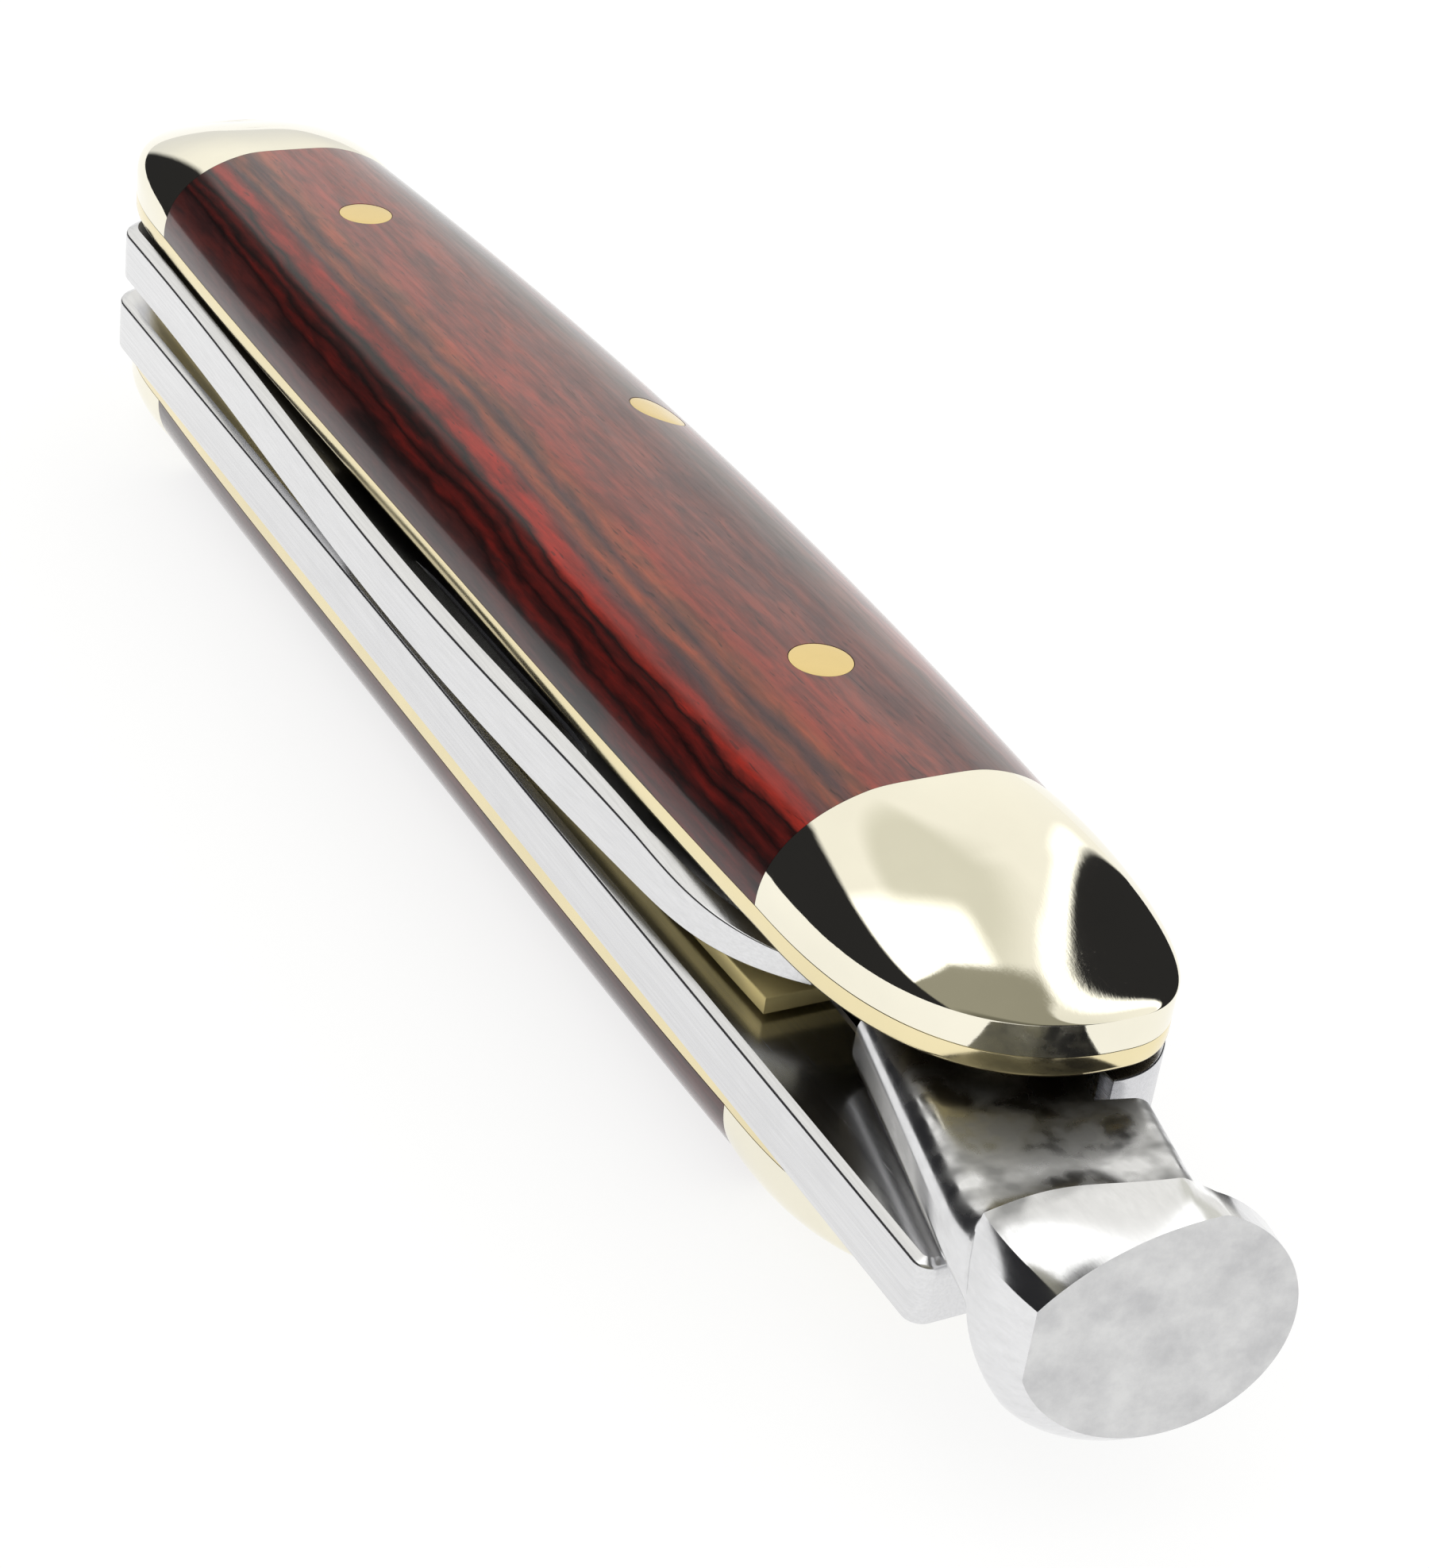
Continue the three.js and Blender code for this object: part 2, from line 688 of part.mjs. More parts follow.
for (const [level, flips] of [['top', []], ['bottom', [underside]]]) {
  const scale = mirrored(scaleBody(), flips);
  add(`${level}_scale`, cutAll(scale, [springPinHole, ...scalePinHoles]), finishes.rosewood);
  for (const [end, turn] of [['near', []], ['far', [farSide]]]) {
    const bolster = mirrored(bolsterBody(), [...flips, ...turn]);
    add(`${end}_${level}_bolster`, cutAll(bolster, [...pivotBores, springEndHole]), finishes.nickelSilver);
    const pinX = turn.length ? -scalePinX : scalePinX;
    const pin = mirrored(rod(pinX, scalePinY, pinRadius, slotReach, restHeight), flips);
    add(`${end}_${level}_scale_pin`, pin, finishes.brass);
  }
  const liner = mirrored(plate(linerOutline(), slotReach, linerTop), flips);
  const holes = [springPinHole, ...scalePinHoles, ...pivotBores, springEndHole];
  add(`${level}_liner`, cutAll(liner, holes), finishes.brass);
}

const centreLiner = plate(centreLinerOutline(), centreLinerFloor, centreLinerTop);
add('centre_liner', cutAll(centreLiner, [springPinHole, pivotHole(farPivot)]), finishes.brass);

const upperSpring = plate(upperSpringOutline(), upperFloor, upperTop);
add('upper_backspring', upperSpring.subtract(springPinHole), finishes.springSteel);
const lowerSpring = plate(lowerSpringOutline(), lowerFloor, lowerTop);
add('lower_backspring', cutAll(lowerSpring, [springPinHole, springEndHole]), finishes.springSteel);

add('knife_blade', knifeBlade(), finishes.steel);
add('spoon_tool', spoonTool(), finishes.steel);

const tamperArm = new THREE.Group();
tamperArm.position.set(nearPivot.x, nearPivot.y, 0);
tamperArm.rotation.z = THREE.MathUtils.degToRad(tamperSwing);
knife.add(tamperArm);
add('tamper', tamperSolid(), finishes.steel, tamperArm);

const pivotPin = (centre) => rod(centre.x, centre.y, pinRadius, -pivotPinReach, pivotPinReach);
add('far_pivot_pin', pivotPin(farPivot), finishes.nickelSilver);
add('near_pivot_pin', pivotPin(nearPivot), finishes.nickelSilver);
add('spring_pin', throughPin(0, springPinY), finishes.brass);
const springEndPin = rod(springEndX, springEndY, springEndPinRadius, springEndPinLow, lowerTop);
add('spring_end_pin', springEndPin, finishes.brass);

export default knife;
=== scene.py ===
# Looks of a pipe smoker's folding pocket knife, built around its packed construction.
# Shapes are worked out in millimetres about the handle's middle plane, and placed in metres.
import json
import math

import bmesh
import bpy
import numpy as np
from mathutils import Matrix, Vector


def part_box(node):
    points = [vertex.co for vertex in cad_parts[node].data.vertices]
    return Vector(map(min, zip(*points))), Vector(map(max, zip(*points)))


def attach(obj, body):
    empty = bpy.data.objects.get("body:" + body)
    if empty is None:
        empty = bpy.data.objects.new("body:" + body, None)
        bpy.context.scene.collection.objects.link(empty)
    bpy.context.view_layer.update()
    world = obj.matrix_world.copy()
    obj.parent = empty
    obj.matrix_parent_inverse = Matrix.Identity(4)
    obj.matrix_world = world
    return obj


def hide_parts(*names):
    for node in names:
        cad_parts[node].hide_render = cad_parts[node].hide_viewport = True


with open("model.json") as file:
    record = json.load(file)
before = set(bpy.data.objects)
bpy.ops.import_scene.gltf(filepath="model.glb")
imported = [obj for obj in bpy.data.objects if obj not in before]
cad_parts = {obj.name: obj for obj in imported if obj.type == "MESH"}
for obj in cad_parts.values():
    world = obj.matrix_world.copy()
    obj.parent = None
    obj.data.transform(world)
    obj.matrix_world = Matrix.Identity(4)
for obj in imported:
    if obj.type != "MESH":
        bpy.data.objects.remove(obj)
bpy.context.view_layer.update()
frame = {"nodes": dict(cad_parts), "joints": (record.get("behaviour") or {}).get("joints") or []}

MM = 0.001


def span(node):
    """Lowest and highest corner of a node, in millimetres."""
    low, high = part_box(node)
    return low / MM, high / MM


# Sizes read from the frame
rest_height = (span("top_scale")[1].z + span("bottom_scale")[0].z) / 2
half_length = span("top_liner")[1].x
junction_x = span("top_scale")[1].x
bolster_length = half_length - junction_x
slot_reach = span("top_liner")[0].z - rest_height
liner_top = span("top_liner")[1].z - rest_height
dome_height = span("top_scale")[1].z - rest_height - liner_top
pin_radius = (span("near_top_scale_pin")[1].x - span("near_top_scale_pin")[0].x) / 2
scale_pin_x = (span("near_top_scale_pin")[1].x + span("near_top_scale_pin")[0].x) / 2
scale_pin_y = (span("near_top_scale_pin")[1].y + span("near_top_scale_pin")[0].y) / 2
spring_pin_y = (span("spring_pin")[1].y + span("spring_pin")[0].y) / 2
joint_places = {joint["name"]: Vector(joint["pos_m"]) / MM for joint in frame["joints"]}
far_pivot = joint_places["blade_fold"].xy
near_pivot = joint_places["tamper_swing"].xy

# Sizes of the handle that shape its curves
belly_depth = 7.2
belly_rise = 0.25
spine_height = 6.98
spine_drop = 1.42
nose_tip_y = 0.9
nose_fullness = 2.6
nose_bluntness = 2.32
dome_power = 2.2
dome_raise = 1.03
crest_flat_fade = 2.5
nose_band = 1.25
band_growth = 0.6
crest_fall = 2.07
crest_hollow = 1.25
scale_end_gap = 0.015
hole_reach = rest_height + 1

# Radii of the flat pieces' rounded edges: the face nearer the middle plane, then the other
liner_corners = (0.26, 0.05)
centre_liner_corners = (0.06, 0.06)
spring_corners = (0.08, 0.08)
corner_steps = 4

# Layers between the liners
centre_liner_top = 0.3
centre_liner_floor = -0.4
layer_gap = 0.2
tool_stock = 2.5
upper_floor = centre_liner_top + layer_gap
upper_top = upper_floor + tool_stock
lower_top = centre_liner_floor - layer_gap
lower_floor = lower_top - tool_stock
centre_liner_recess = 0.9
centre_liner_end_x = half_length - 11

# Tangs, springs and pins
pin_fit = 0.03
pivot_fit = 0.09
pin_crown = 0.03
pin_crown_power = 6
pin_sink = 0.012
tang_radius = 3.1
spring_gap = 0.3
spring_depth = 4.9
spring_pad_half = 6
spring_pad_cover = 1.1
spring_tip_lean = 0.02
back_arm_reach = 2.5
heel_reach = 2.1
heel_radius = 2.0
spring_tip_y = 0.6
spring_seat_y = far_pivot.y + tang_radius + spring_gap

# Knife blade
blade_spine_y = -7.4
blade_crown = 0.95
crown_lean = 1.29
blade_edge_y = 0.35
blade_tip_y = -4.9
blade_tip_x = half_length - 10.1
blade_tip_width = 0.25
ricasso_end_x = far_pivot.x + 30.6
plunge_run = 1.1
edge_thickness = 0.16
tip_drop = 8.5
tip_curve = 3.2
edge_curve_length = 17.8
edge_curve = 2.6
tip_thinning = 0.55
grind_sag = 0.3
grind_sag_lean = 0.8
low_spine_bevel = 0.1
nick_start = blade_tip_x - 30.4
nick_length = 17
nick_width = 1.3
nick_from_spine = 1.2
nick_depth = 0.7
nick_end_power = 6

# Upper spine edge of both folding tools: a shallow bevel that rounds over into the spine
blade_bevel_run = 0.5
tip_bevel_run = 1.3
widest_bevel_share = 1 / 1.3
spoon_bevel_run = 0.28
spine_bevel_lean = math.radians(69)
spine_rounding = 0.14

# Spoon tool
spoon_spine_y = -7.6
spoon_end_x = half_length + 2.5
spoon_tang_length = 8.1
spoon_width_at_tang = 7.4
spoon_width_at_end = 4.2
spoon_end_radius = 0.9
spoon_tip_radius = 0.7
spoon_low_corner = 0.1
scoop_radius = 7.5
scoop_depth = 0.55
scoop_length = 31.8
scoop_inset = 5.7
scoop_across = 2.6
scoop_end_share = 1 / 8

# Tamper, along its own arm from the pivot
tamper_swing = math.radians(-14)
tamper_reach = 12
tamper_thickness = 2.95
tamper_floor = -0.35
tang_heel = 2.5
tang_heel_waist = 1.2
arm_belly = 4.2
arm_belly_rounding = 1.1
arm_spine = 4.3
arm_spine_rounding = 0.8
shoulder_gap = 0.1
foot_radius = 4.5
foot_offset = 1.5
foot_height = 0.65
foot_belly = 2.65
foot_cut_radius = 8.9
foot_cut_centre = (4.4, -3.8)
head_radius = 5
head_offset = 1.15
head_height = 0.2
head_corner_power = 3
head_brow_height = 4.36
head_brow_slope = 0.4
head_slope = 1.2
head_long_slope = 3.2
head_long_side = math.radians(145)
head_curve = 1.6
top_scoop_start = 6.4
low_scoop_start = 8.2
neck_start = 7
section_centre = 0.3
tang_end_gap = 0.02
shoulder_step = 0.001
ray_squash = 0.62


# Materials: worked out from object coordinates, so that each stays on its piece

def new_material(name):
    material = bpy.data.materials.new(name)
    material.use_nodes = True
    tree = material.node_tree
    place = tree.nodes.new("ShaderNodeTexCoord").outputs["Object"]
    return material, tree, tree.nodes["Principled BSDF"], place


def parts_of(tree, vector):
    """X, Y and Z of a vector."""
    split = tree.nodes.new("ShaderNodeSeparateXYZ")
    tree.links.new(vector, split.inputs["Vector"])
    return split.outputs


def noise(tree, place, scale, detail, rough, distortion=0, turn=0):
    """Noise with its own number of waves per metre along each axis, and then turned about Z."""
    mapping = tree.nodes.new("ShaderNodeMapping")
    mapping.inputs["Scale"].default_value = scale
    mapping.inputs["Rotation"].default_value = (0, 0, turn)
    tree.links.new(place, mapping.inputs["Vector"])
    texture = tree.nodes.new("ShaderNodeTexNoise")
    texture.inputs["Scale"].default_value = 1
    texture.inputs["Detail"].default_value = detail
    texture.inputs["Roughness"].default_value = rough
    texture.inputs["Distortion"].default_value = distortion
    tree.links.new(mapping.outputs["Vector"], texture.inputs["Vector"])
    return texture.outputs["Fac"]


def ramp(tree, value, stops):
    colours = tree.nodes.new("ShaderNodeValToRGB")
    elements = colours.color_ramp.elements
    while len(elements) < len(stops):
        elements.new(0.5)
    for element, (position, colour) in zip(elements, stops):
        element.position = position
        element.color = (*colour, 1)
    tree.links.new(value, colours.inputs["Fac"])
    return colours.outputs["Color"]


def between(tree, value, from_low, from_high, to_low, to_high, smooth=False):
    rescale = tree.nodes.new("ShaderNodeMapRange")
    rescale.interpolation_type = "SMOOTHSTEP" if smooth else "LINEAR"
    limits = {"From Min": from_low, "From Max": from_high, "To Min": to_low, "To Max": to_high}
    for name, limit in limits.items():
        rescale.inputs[name].default_value = limit
    tree.links.new(value, rescale.inputs["Value"])
    return rescale.outputs["Result"]


def mixed(tree, share, first, second, blend="MIX"):
    mix = tree.nodes.new("ShaderNodeMix")
    mix.data_type = "RGBA"
    mix.blend_type = blend
    for socket, value in ((mix.inputs[0], share), (mix.inputs[6], first), (mix.inputs[7], second)):
        if isinstance(value, bpy.types.NodeSocket):
            tree.links.new(value, socket)
        elif isinstance(value, tuple):
            socket.default_value = (*value, 1)
        else:
            socket.default_value = value
    return mix.outputs[2]


def arithmetic(tree, operation, *values):
    node = tree.nodes.new("ShaderNodeMath")
    node.operation = operation
    for socket, value in zip(node.inputs, values):
        if isinstance(value, bpy.types.NodeSocket):
            tree.links.new(value, socket)
        else:
            socket.default_value = value
    return node.outputs[0]


def bump(tree, height, depth, strength):
    relief = tree.nodes.new("ShaderNodeBump")
    relief.inputs["Strength"].default_value = strength
    relief.inputs["Distance"].default_value = depth
    tree.links.new(height, relief.inputs["Height"])
    return relief.outputs["Normal"]


# Woods that the scales are striped with
vein = (0.011, 0.001, 0.001)
sapwood = (0.060, 0.010, 0.009)
ox_blood = (0.095, 0.005, 0.003)
scarlet = (0.250, 0.016, 0.008)
russet = (0.240, 0.066, 0.034)
mauve = (0.088, 0.036, 0.036)
rose = (0.235, 0.038, 0.024)
dusty_rose = (0.200, 0.066, 0.056)

# The stripes across a scale, from the belly edge to the back, by distance in millimetres
wood_stripes = [
    (-7.2, sapwood), (-6.9, sapwood), (-6.65, vein), (-6.45, ox_blood), (-6.25, vein), (-6.0, ox_blood),
    (-5.8, vein), (-5.6, ox_blood), (-5.4, vein), (-5.15, scarlet), (-4.7, scarlet), (-4.3, mauve),
    (-3.9, russet), (-3.4, mauve), (-2.9, russet), (-2.2, rose), (-0.8, rose), (0.6, dusty_rose),
    (3.6, mauve), (4.6, dusty_rose), (7.2, rose),
]

# How far the stripes wander across a scale: per millimetre of length, from the lower board to the upper
# one, in long waves and in short ones; and the heights between which one board changes to the other
stripe_drift = 0.02
stripe_board_shift = 1.6
stripe_sway = 0.9
stripe_ripple = 0.36
board_change = (4, 12)


def rosewood():
    """Streaked red-brown wood under clear gloss lacquer: wandering lengthwise bands, veins and pores."""
    material, tree, shader, place = new_material("rosewood_lacquered")
    x, y, z = parts_of(tree, place)
    sway = noise(tree, place, (45, 160, 160), 3, 0.5)
    ripple = noise(tree, place, (230, 1250, 1250), 4, 0.6)
    across = y
    for shift in (arithmetic(tree, "MULTIPLY", x, stripe_drift),
                  between(tree, z, board_change[0] * MM, board_change[1] * MM, -stripe_board_shift * MM, 0),
                  between(tree, sway, 0, 1, -stripe_sway * MM, stripe_sway * MM),
                  between(tree, ripple, 0, 1, -stripe_ripple * MM, stripe_ripple * MM)):
        across = arithmetic(tree, "ADD", across, shift)
    low, high = wood_stripes[0][0], wood_stripes[-1][0]
    share = between(tree, across, low * MM, high * MM, 0, 1)
    stops = [((place_y - low) / (high - low), stripe) for place_y, stripe in wood_stripes]
    stripes = ramp(tree, share, stops)
    patches = noise(tree, place, (70, 420, 420), 5, 0.6, 0.3)
    tone = ramp(tree, patches, [
        (0.36, (0.52, 0.66, 0.74)),
        (0.50, (0.95, 0.95, 0.95)),
        (0.62, (1.30, 1.05, 0.92)),
    ])
    colour = mixed(tree, 0.7, stripes, tone, "MULTIPLY")
    flecks = noise(tree, place, (330, 1500, 1500), 4, 0.65, 0.4)
    fleck_tone = ramp(tree, flecks, [
        (0.37, (0.56, 0.78, 0.92)),
        (0.50, (0.96, 0.98, 1.00)),
        (0.63, (1.34, 1.08, 0.92)),
    ])
    colour = mixed(tree, 0.75, colour, fleck_tone, "MULTIPLY")
    fibres = noise(tree, place, (260, 3400, 3400), 5, 0.65)
    fibre_tone = ramp(tree, fibres, [(0.34, (0.62, 0.60, 0.62)), (0.60, (1.16, 1.10, 1.06))])
    colour = mixed(tree, 0.75, colour, fibre_tone, "MULTIPLY")
    pores = noise(tree, place, (900, 7000, 7000), 2, 0.5)
    pore_share = between(tree, pores, 0.64, 0.72, 0, 0.55, True)
    colour = mixed(tree, pore_share, colour, (0.020, 0.006, 0.005))
    tree.links.new(colour, shader.inputs["Base Color"])
    tree.links.new(between(tree, fibres, 0.3, 0.7, 0.46, 0.34), shader.inputs["Roughness"])
    shader.inputs["Specular IOR Level"].default_value = 0.15
    shader.inputs["Coat Weight"].default_value = 1.0
    shader.inputs["Coat Roughness"].default_value = 0.11
    shader.inputs["Coat IOR"].default_value = 1.34
    tree.links.new(bump(tree, fibres, 0.01 * MM, 0.25), shader.inputs["Normal"])
    return material


def polished(name, colour, roughness, wipe=0.35, wear=0.08, bare=1.0):
    """Buffed metal: near-mirror, with faint wiping lines along the handle and patchy handling haze."""
    material, tree, shader, place = new_material(name)
    haze = noise(tree, place, (160, 160, 160), 4, 0.6)
    lines = noise(tree, place, (500, 9000, 9000), 3, 0.6, turn=0.3)
    tint = ramp(tree, haze, [
        (0.35, tuple(channel * (1 - wear) for channel in colour)),
        (0.65, colour),
    ])
    tree.links.new(tint, shader.inputs["Base Color"])
    shader.inputs["Metallic"].default_value = bare
    rough = between(tree, haze, 0.35, 0.7, roughness * 0.7, roughness * 1.5)
    rough = arithmetic(tree, "ADD", rough, between(tree, lines, 0.62, 0.8, 0, 0.08))
    tree.links.new(rough, shader.inputs["Roughness"])
    tree.links.new(bump(tree, lines, 0.002 * MM, wipe), shader.inputs["Normal"])
    return material


# Painted shade on the tamper's arm where the handle overhangs it: its grey, how strongly it is mixed in,
# and how much the gloss is dulled there
painted_shade_grey = (0.30, 0.30, 0.305)
painted_shade_weight = 0.8
overhang_dulling = 0.32


def satin_steel(name, colour, roughness, grain=(180, 9000, 9000), painted_shade_fades=None):
    """Ground steel: fine lines along the piece, tone and gloss varying from line to line."""
    material, tree, shader, place = new_material(name)
    lines = noise(tree, place, grain, 5, 0.7)
    patches = noise(tree, place, (220, 500, 500), 4, 0.6)
    tone = ramp(tree, lines, [
        (0.30, tuple(channel * 0.93 for channel in colour)),
        (0.70, tuple(min(1, channel * 1.04) for channel in colour)),
    ])
    dulled = tuple(channel * 0.92 for channel in colour)
    tone = mixed(tree, between(tree, patches, 0.52, 0.72, 0, 0.6, True), tone, dulled)
    rough = between(tree, lines, 0.3, 0.7, roughness * 1.25, roughness * 0.8)
    if painted_shade_fades:
        # Painted shade: the end that the handle covers is darkened grey in blotches on its upper faces,
        # fading out along the piece, and its gloss is dulled there.
        # These still face up when the tamper swings, because it turns about Z.
        fade_from, fade_to = (x * MM for x in painted_shade_fades)
        along_piece = parts_of(tree, place)["X"]
        covered = between(tree, along_piece, fade_from, fade_to, 1, 0, True)
        blotches = noise(tree, place, (800, 600, 600), 2, 0.5)
        blotch_share = between(tree, blotches, 0.36, 0.62, 0.05, 1)
        normal = tree.nodes.new("ShaderNodeNewGeometry").outputs["Normal"]
        flat_share = between(tree, parts_of(tree, normal)["Z"], 0.3, 0.9, 0.15, 1, True)
        darkening = arithmetic(tree, "MULTIPLY", covered, blotch_share)
        darkening = arithmetic(tree, "MULTIPLY", darkening, flat_share)
        painted_shade_share = arithmetic(tree, "MULTIPLY", darkening, painted_shade_weight)
        tone = mixed(tree, painted_shade_share, tone, painted_shade_grey)
        dulling = arithmetic(tree, "MULTIPLY", darkening, overhang_dulling)
        rough = arithmetic(tree, "ADD", rough, dulling)
    tree.links.new(tone, shader.inputs["Base Color"])
    shader.inputs["Metallic"].default_value = 1.0
    tree.links.new(rough, shader.inputs["Roughness"])
    tree.links.new(bump(tree, lines, 0.003 * MM, 0.3), shader.inputs["Normal"])
    return material


def matt_steel():
    """The tamper's foot: blasted grey face with soft mottling."""
    material, tree, shader, place = new_material("steel_blasted")
    mottle = noise(tree, place, (600, 600, 600), 6, 0.7)
    grit = noise(tree, place, (9000, 9000, 9000), 2, 0.5)
    tone = ramp(tree, mottle, [(0.35, (0.64, 0.64, 0.65)), (0.65, (0.74, 0.74, 0.74))])
    tree.links.new(tone, shader.inputs["Base Color"])
    shader.inputs["Metallic"].default_value = 0.75
    tree.links.new(between(tree, mottle, 0.3, 0.7, 0.62, 0.46), shader.inputs["Roughness"])
    tree.links.new(bump(tree, grit, 0.01 * MM, 0.5), shader.inputs["Normal"])
    return material


def dark_brass():
    """Inner faces of the liners, browned and dulled where no cloth reaches."""
    material, tree, shader, place = new_material("brass_tarnished")
    darkening = noise(tree, place, (300, 300, 300), 6, 0.7)
    tone = ramp(tree, darkening, [(0.35, (0.035, 0.028, 0.016)), (0.68, (0.10, 0.078, 0.036))])
    tree.links.new(tone, shader.inputs["Base Color"])
    shader.inputs["Metallic"].default_value = 0.6
    tree.links.new(between(tree, darkening, 0.3, 0.7, 0.62, 0.48), shader.inputs["Roughness"])
    return material


wood = rosewood()
nickel_silver = polished("nickel_silver_polished", (0.90, 0.86, 0.72), 0.035, 0.25, 0.05)
brass = polished("brass_polished", (0.87, 0.76, 0.47), 0.14)
pin_brass = polished("brass_pin", (0.80, 0.61, 0.27), 0.16)
worn_brass = polished("brass_worn", (0.90, 0.76, 0.36), 0.42, bare=0.7)
inner_brass = dark_brass()
steel = satin_steel("steel_satin", (0.74, 0.74, 0.75), 0.22)
# The last pair is where the painted shade on the tamper's arm fades out, in millimetres along the arm
tamper_steel = satin_steel("steel_buffed", (0.76, 0.76, 0.77), 0.15, (900, 3000, 3000), (45.6, 47.3))
foot_steel = matt_steel()
spring_steel = satin_steel("spring_steel_satin", (0.66, 0.66, 0.68), 0.26)


# Mesh helpers

def mesh_object(name, points, faces):
    """A closed mesh in place, from points in millimetres about the middle plane."""
    mesh = bpy.data.meshes.new(name)
    mesh.from_pydata([(x * MM, y * MM, (z + rest_height) * MM) for x, y, z in points], [], faces)
    shell = bmesh.new()
    shell.from_mesh(mesh)
    bmesh.ops.remove_doubles(shell, verts=shell.verts, dist=1e-7)
    bmesh.ops.dissolve_degenerate(shell, edges=shell.edges, dist=1e-8)
    bmesh.ops.recalc_face_normals(shell, faces=shell.faces)
    shell.to_mesh(mesh)
    shell.free()
    obj = bpy.data.objects.new(name, mesh)
    bpy.context.scene.collection.objects.link(obj)
    return obj


def cut(obj, cutters):
    """Takes the cutters out of obj and removes them."""
    for cutter in cutters:
        change = obj.modifiers.new("cut", "BOOLEAN")
        change.operation = "DIFFERENCE"
        change.solver = "EXACT"
        change.object = cutter
    bpy.context.view_layer.update()
    depsgraph = bpy.context.evaluated_depsgraph_get()
    mesh = bpy.data.meshes.new_from_object(obj.evaluated_get(depsgraph))
    obj.modifiers.clear()
    obj.data = mesh
    for cutter in cutters:
        bpy.data.objects.remove(cutter)


def dress(obj, node, body, slot, *materials, sharp=28):
    """Gives a finished mesh its shading and materials, and lets it stand for its node."""
    for material in materials:
        obj.data.materials.append(material)
    obj.data.polygons.foreach_set("use_smooth", [True] * len(obj.data.polygons))
    obj.data.set_sharp_from_angle(angle=math.radians(sharp))
    obj.data.update()
    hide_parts(node)
    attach(obj, body)


def loft(rings):
    """Points and faces of a closed skin over rings of equal count, with a cap on each end."""
    count = len(rings[0])
    points = [point for ring in rings for point in ring]
    faces = []
    for i in range(len(rings) - 1):
        for j in range(count):
            k = (j + 1) % count
            faces.append((i * count + j, i * count + k, (i + 1) * count + k, (i + 1) * count + j))
    faces.append(tuple(reversed(range(count))))
    last = (len(rings) - 1) * count
    faces.append(tuple(range(last, last + count)))
    return points, faces


def inset(outline, amount):
    """The outline moved inwards along its corners' bisectors; it runs counter-clockwise."""
    least_lean = 0.5
    moved = []
    for i, (x, y) in enumerate(outline):
        before = Vector(outline[i - 1])
        here = Vector((x, y))
        after = Vector(outline[(i + 1) % len(outline)])
        first = (here - before).normalized()
        second = (after - here).normalized()
        inward = Vector((-first.y - second.y, first.x + second.x))
        if inward.length < 1e-6:
            inward = Vector((-first.y, first.x))
        inward.normalize()
        lean = max(least_lean, inward.dot(Vector((-first.y, first.x))))
        moved.append(here + inward * (amount / lean))
    return moved


def counter_clockwise(outline):
    area = sum(a[0] * b[1] - b[0] * a[1] for a, b in zip(outline, outline[1:] + outline[:1]))
    return outline[::-1] if area < 0 else outline


def rounded_corner(radius):
    """Insets and drops of a rounded corner, from the flat face down to the side."""
    turns = [math.pi / 2 * i / corner_steps for i in range(corner_steps + 1)]
    return [(radius * (1 - math.sin(turn)), radius * (1 - math.cos(turn))) for turn in turns]


def plate(outline, low, high, corners):
    """Points and faces of a flat piece, rounded over along the edges of both faces."""
    outline = counter_clockwise(outline)
    levels_up = [(amount, low + drop) for amount, drop in rounded_corner(corners[0])]
    levels_up += [(amount, high - drop) for amount, drop in reversed(rounded_corner(corners[1]))]
    return loft([[(x, y, z) for x, y in inset(outline, amount)] for amount, z in levels_up])


def arc(centre, radius, start, end, steps):
    """Points round a centre, with the angles in radians."""
    turns = [start + (end - start) * i / steps for i in range(steps + 1)]
    return [(centre[0] + radius * math.cos(turn), centre[1] + radius * math.sin(turn)) for turn in turns]


def hole(x, y, radius):
    """A plain round cutter along Z, right through the handle."""
    ring = arc((x, y), radius, 0, math.tau, 48)[:-1]
    points, faces = loft([[(a, b, z) for a, b in ring] for z in (-hole_reach, hole_reach)])
    return mesh_object("cutter", points, faces)


def blend_min(a, b, width):
    """The smaller of two values, with a rounded change from one to the other."""
    share = max(0.0, width - abs(a - b)) / width
    return min(a, b) - share * share * width / 4


def lerp(a, b, share):
    return a + (b - a) * share


# Handle outline and dome

def nose_share(x):
    return min(1.0, max(0.0, (abs(x) - junction_x) / bolster_length))


def outline_at(x):
    share = min(1.0, abs(x) / junction_x)
    belly = -belly_depth + belly_rise * share ** 4
    spine = spine_height - spine_drop * share ** 2
    width = (1 - nose_share(x) ** nose_fullness) ** (1 / nose_bluntness)
    return nose_tip_y + (belly - nose_tip_y) * width, nose_tip_y + (spine - nose_tip_y) * width


def dome_shape(across, nose):
    """Share of the crest's height across the handle; the flat on the crest fades out in the nose."""
    side = max(0.0, 1 - abs(across) ** dome_power)
    raise_by = lerp(dome_raise, 1.0, min(1.0, crest_flat_fade * nose))
    curve = raise_by * side ** (1 / dome_power)
    return blend_min(1.0, curve, dome_raise - 1) if raise_by > 1 else min(1.0, curve)


def dome_heights(x):
    """Height of the rim band and of the crest above the liner."""
    share = nose_share(x)
    band = nose_band * share ** band_growth
    crest = nose_band + (dome_height - nose_band) * (1 - share ** crest_fall) ** crest_hollow
    return band, crest


def dome_height_at(x, y):
    belly, spine = outline_at(x)
    across = (2 * y - belly - spine) / (spine - belly)
    band, crest = dome_heights(x)
    return liner_top + band + (crest - band) * dome_shape(across, nose_share(x))


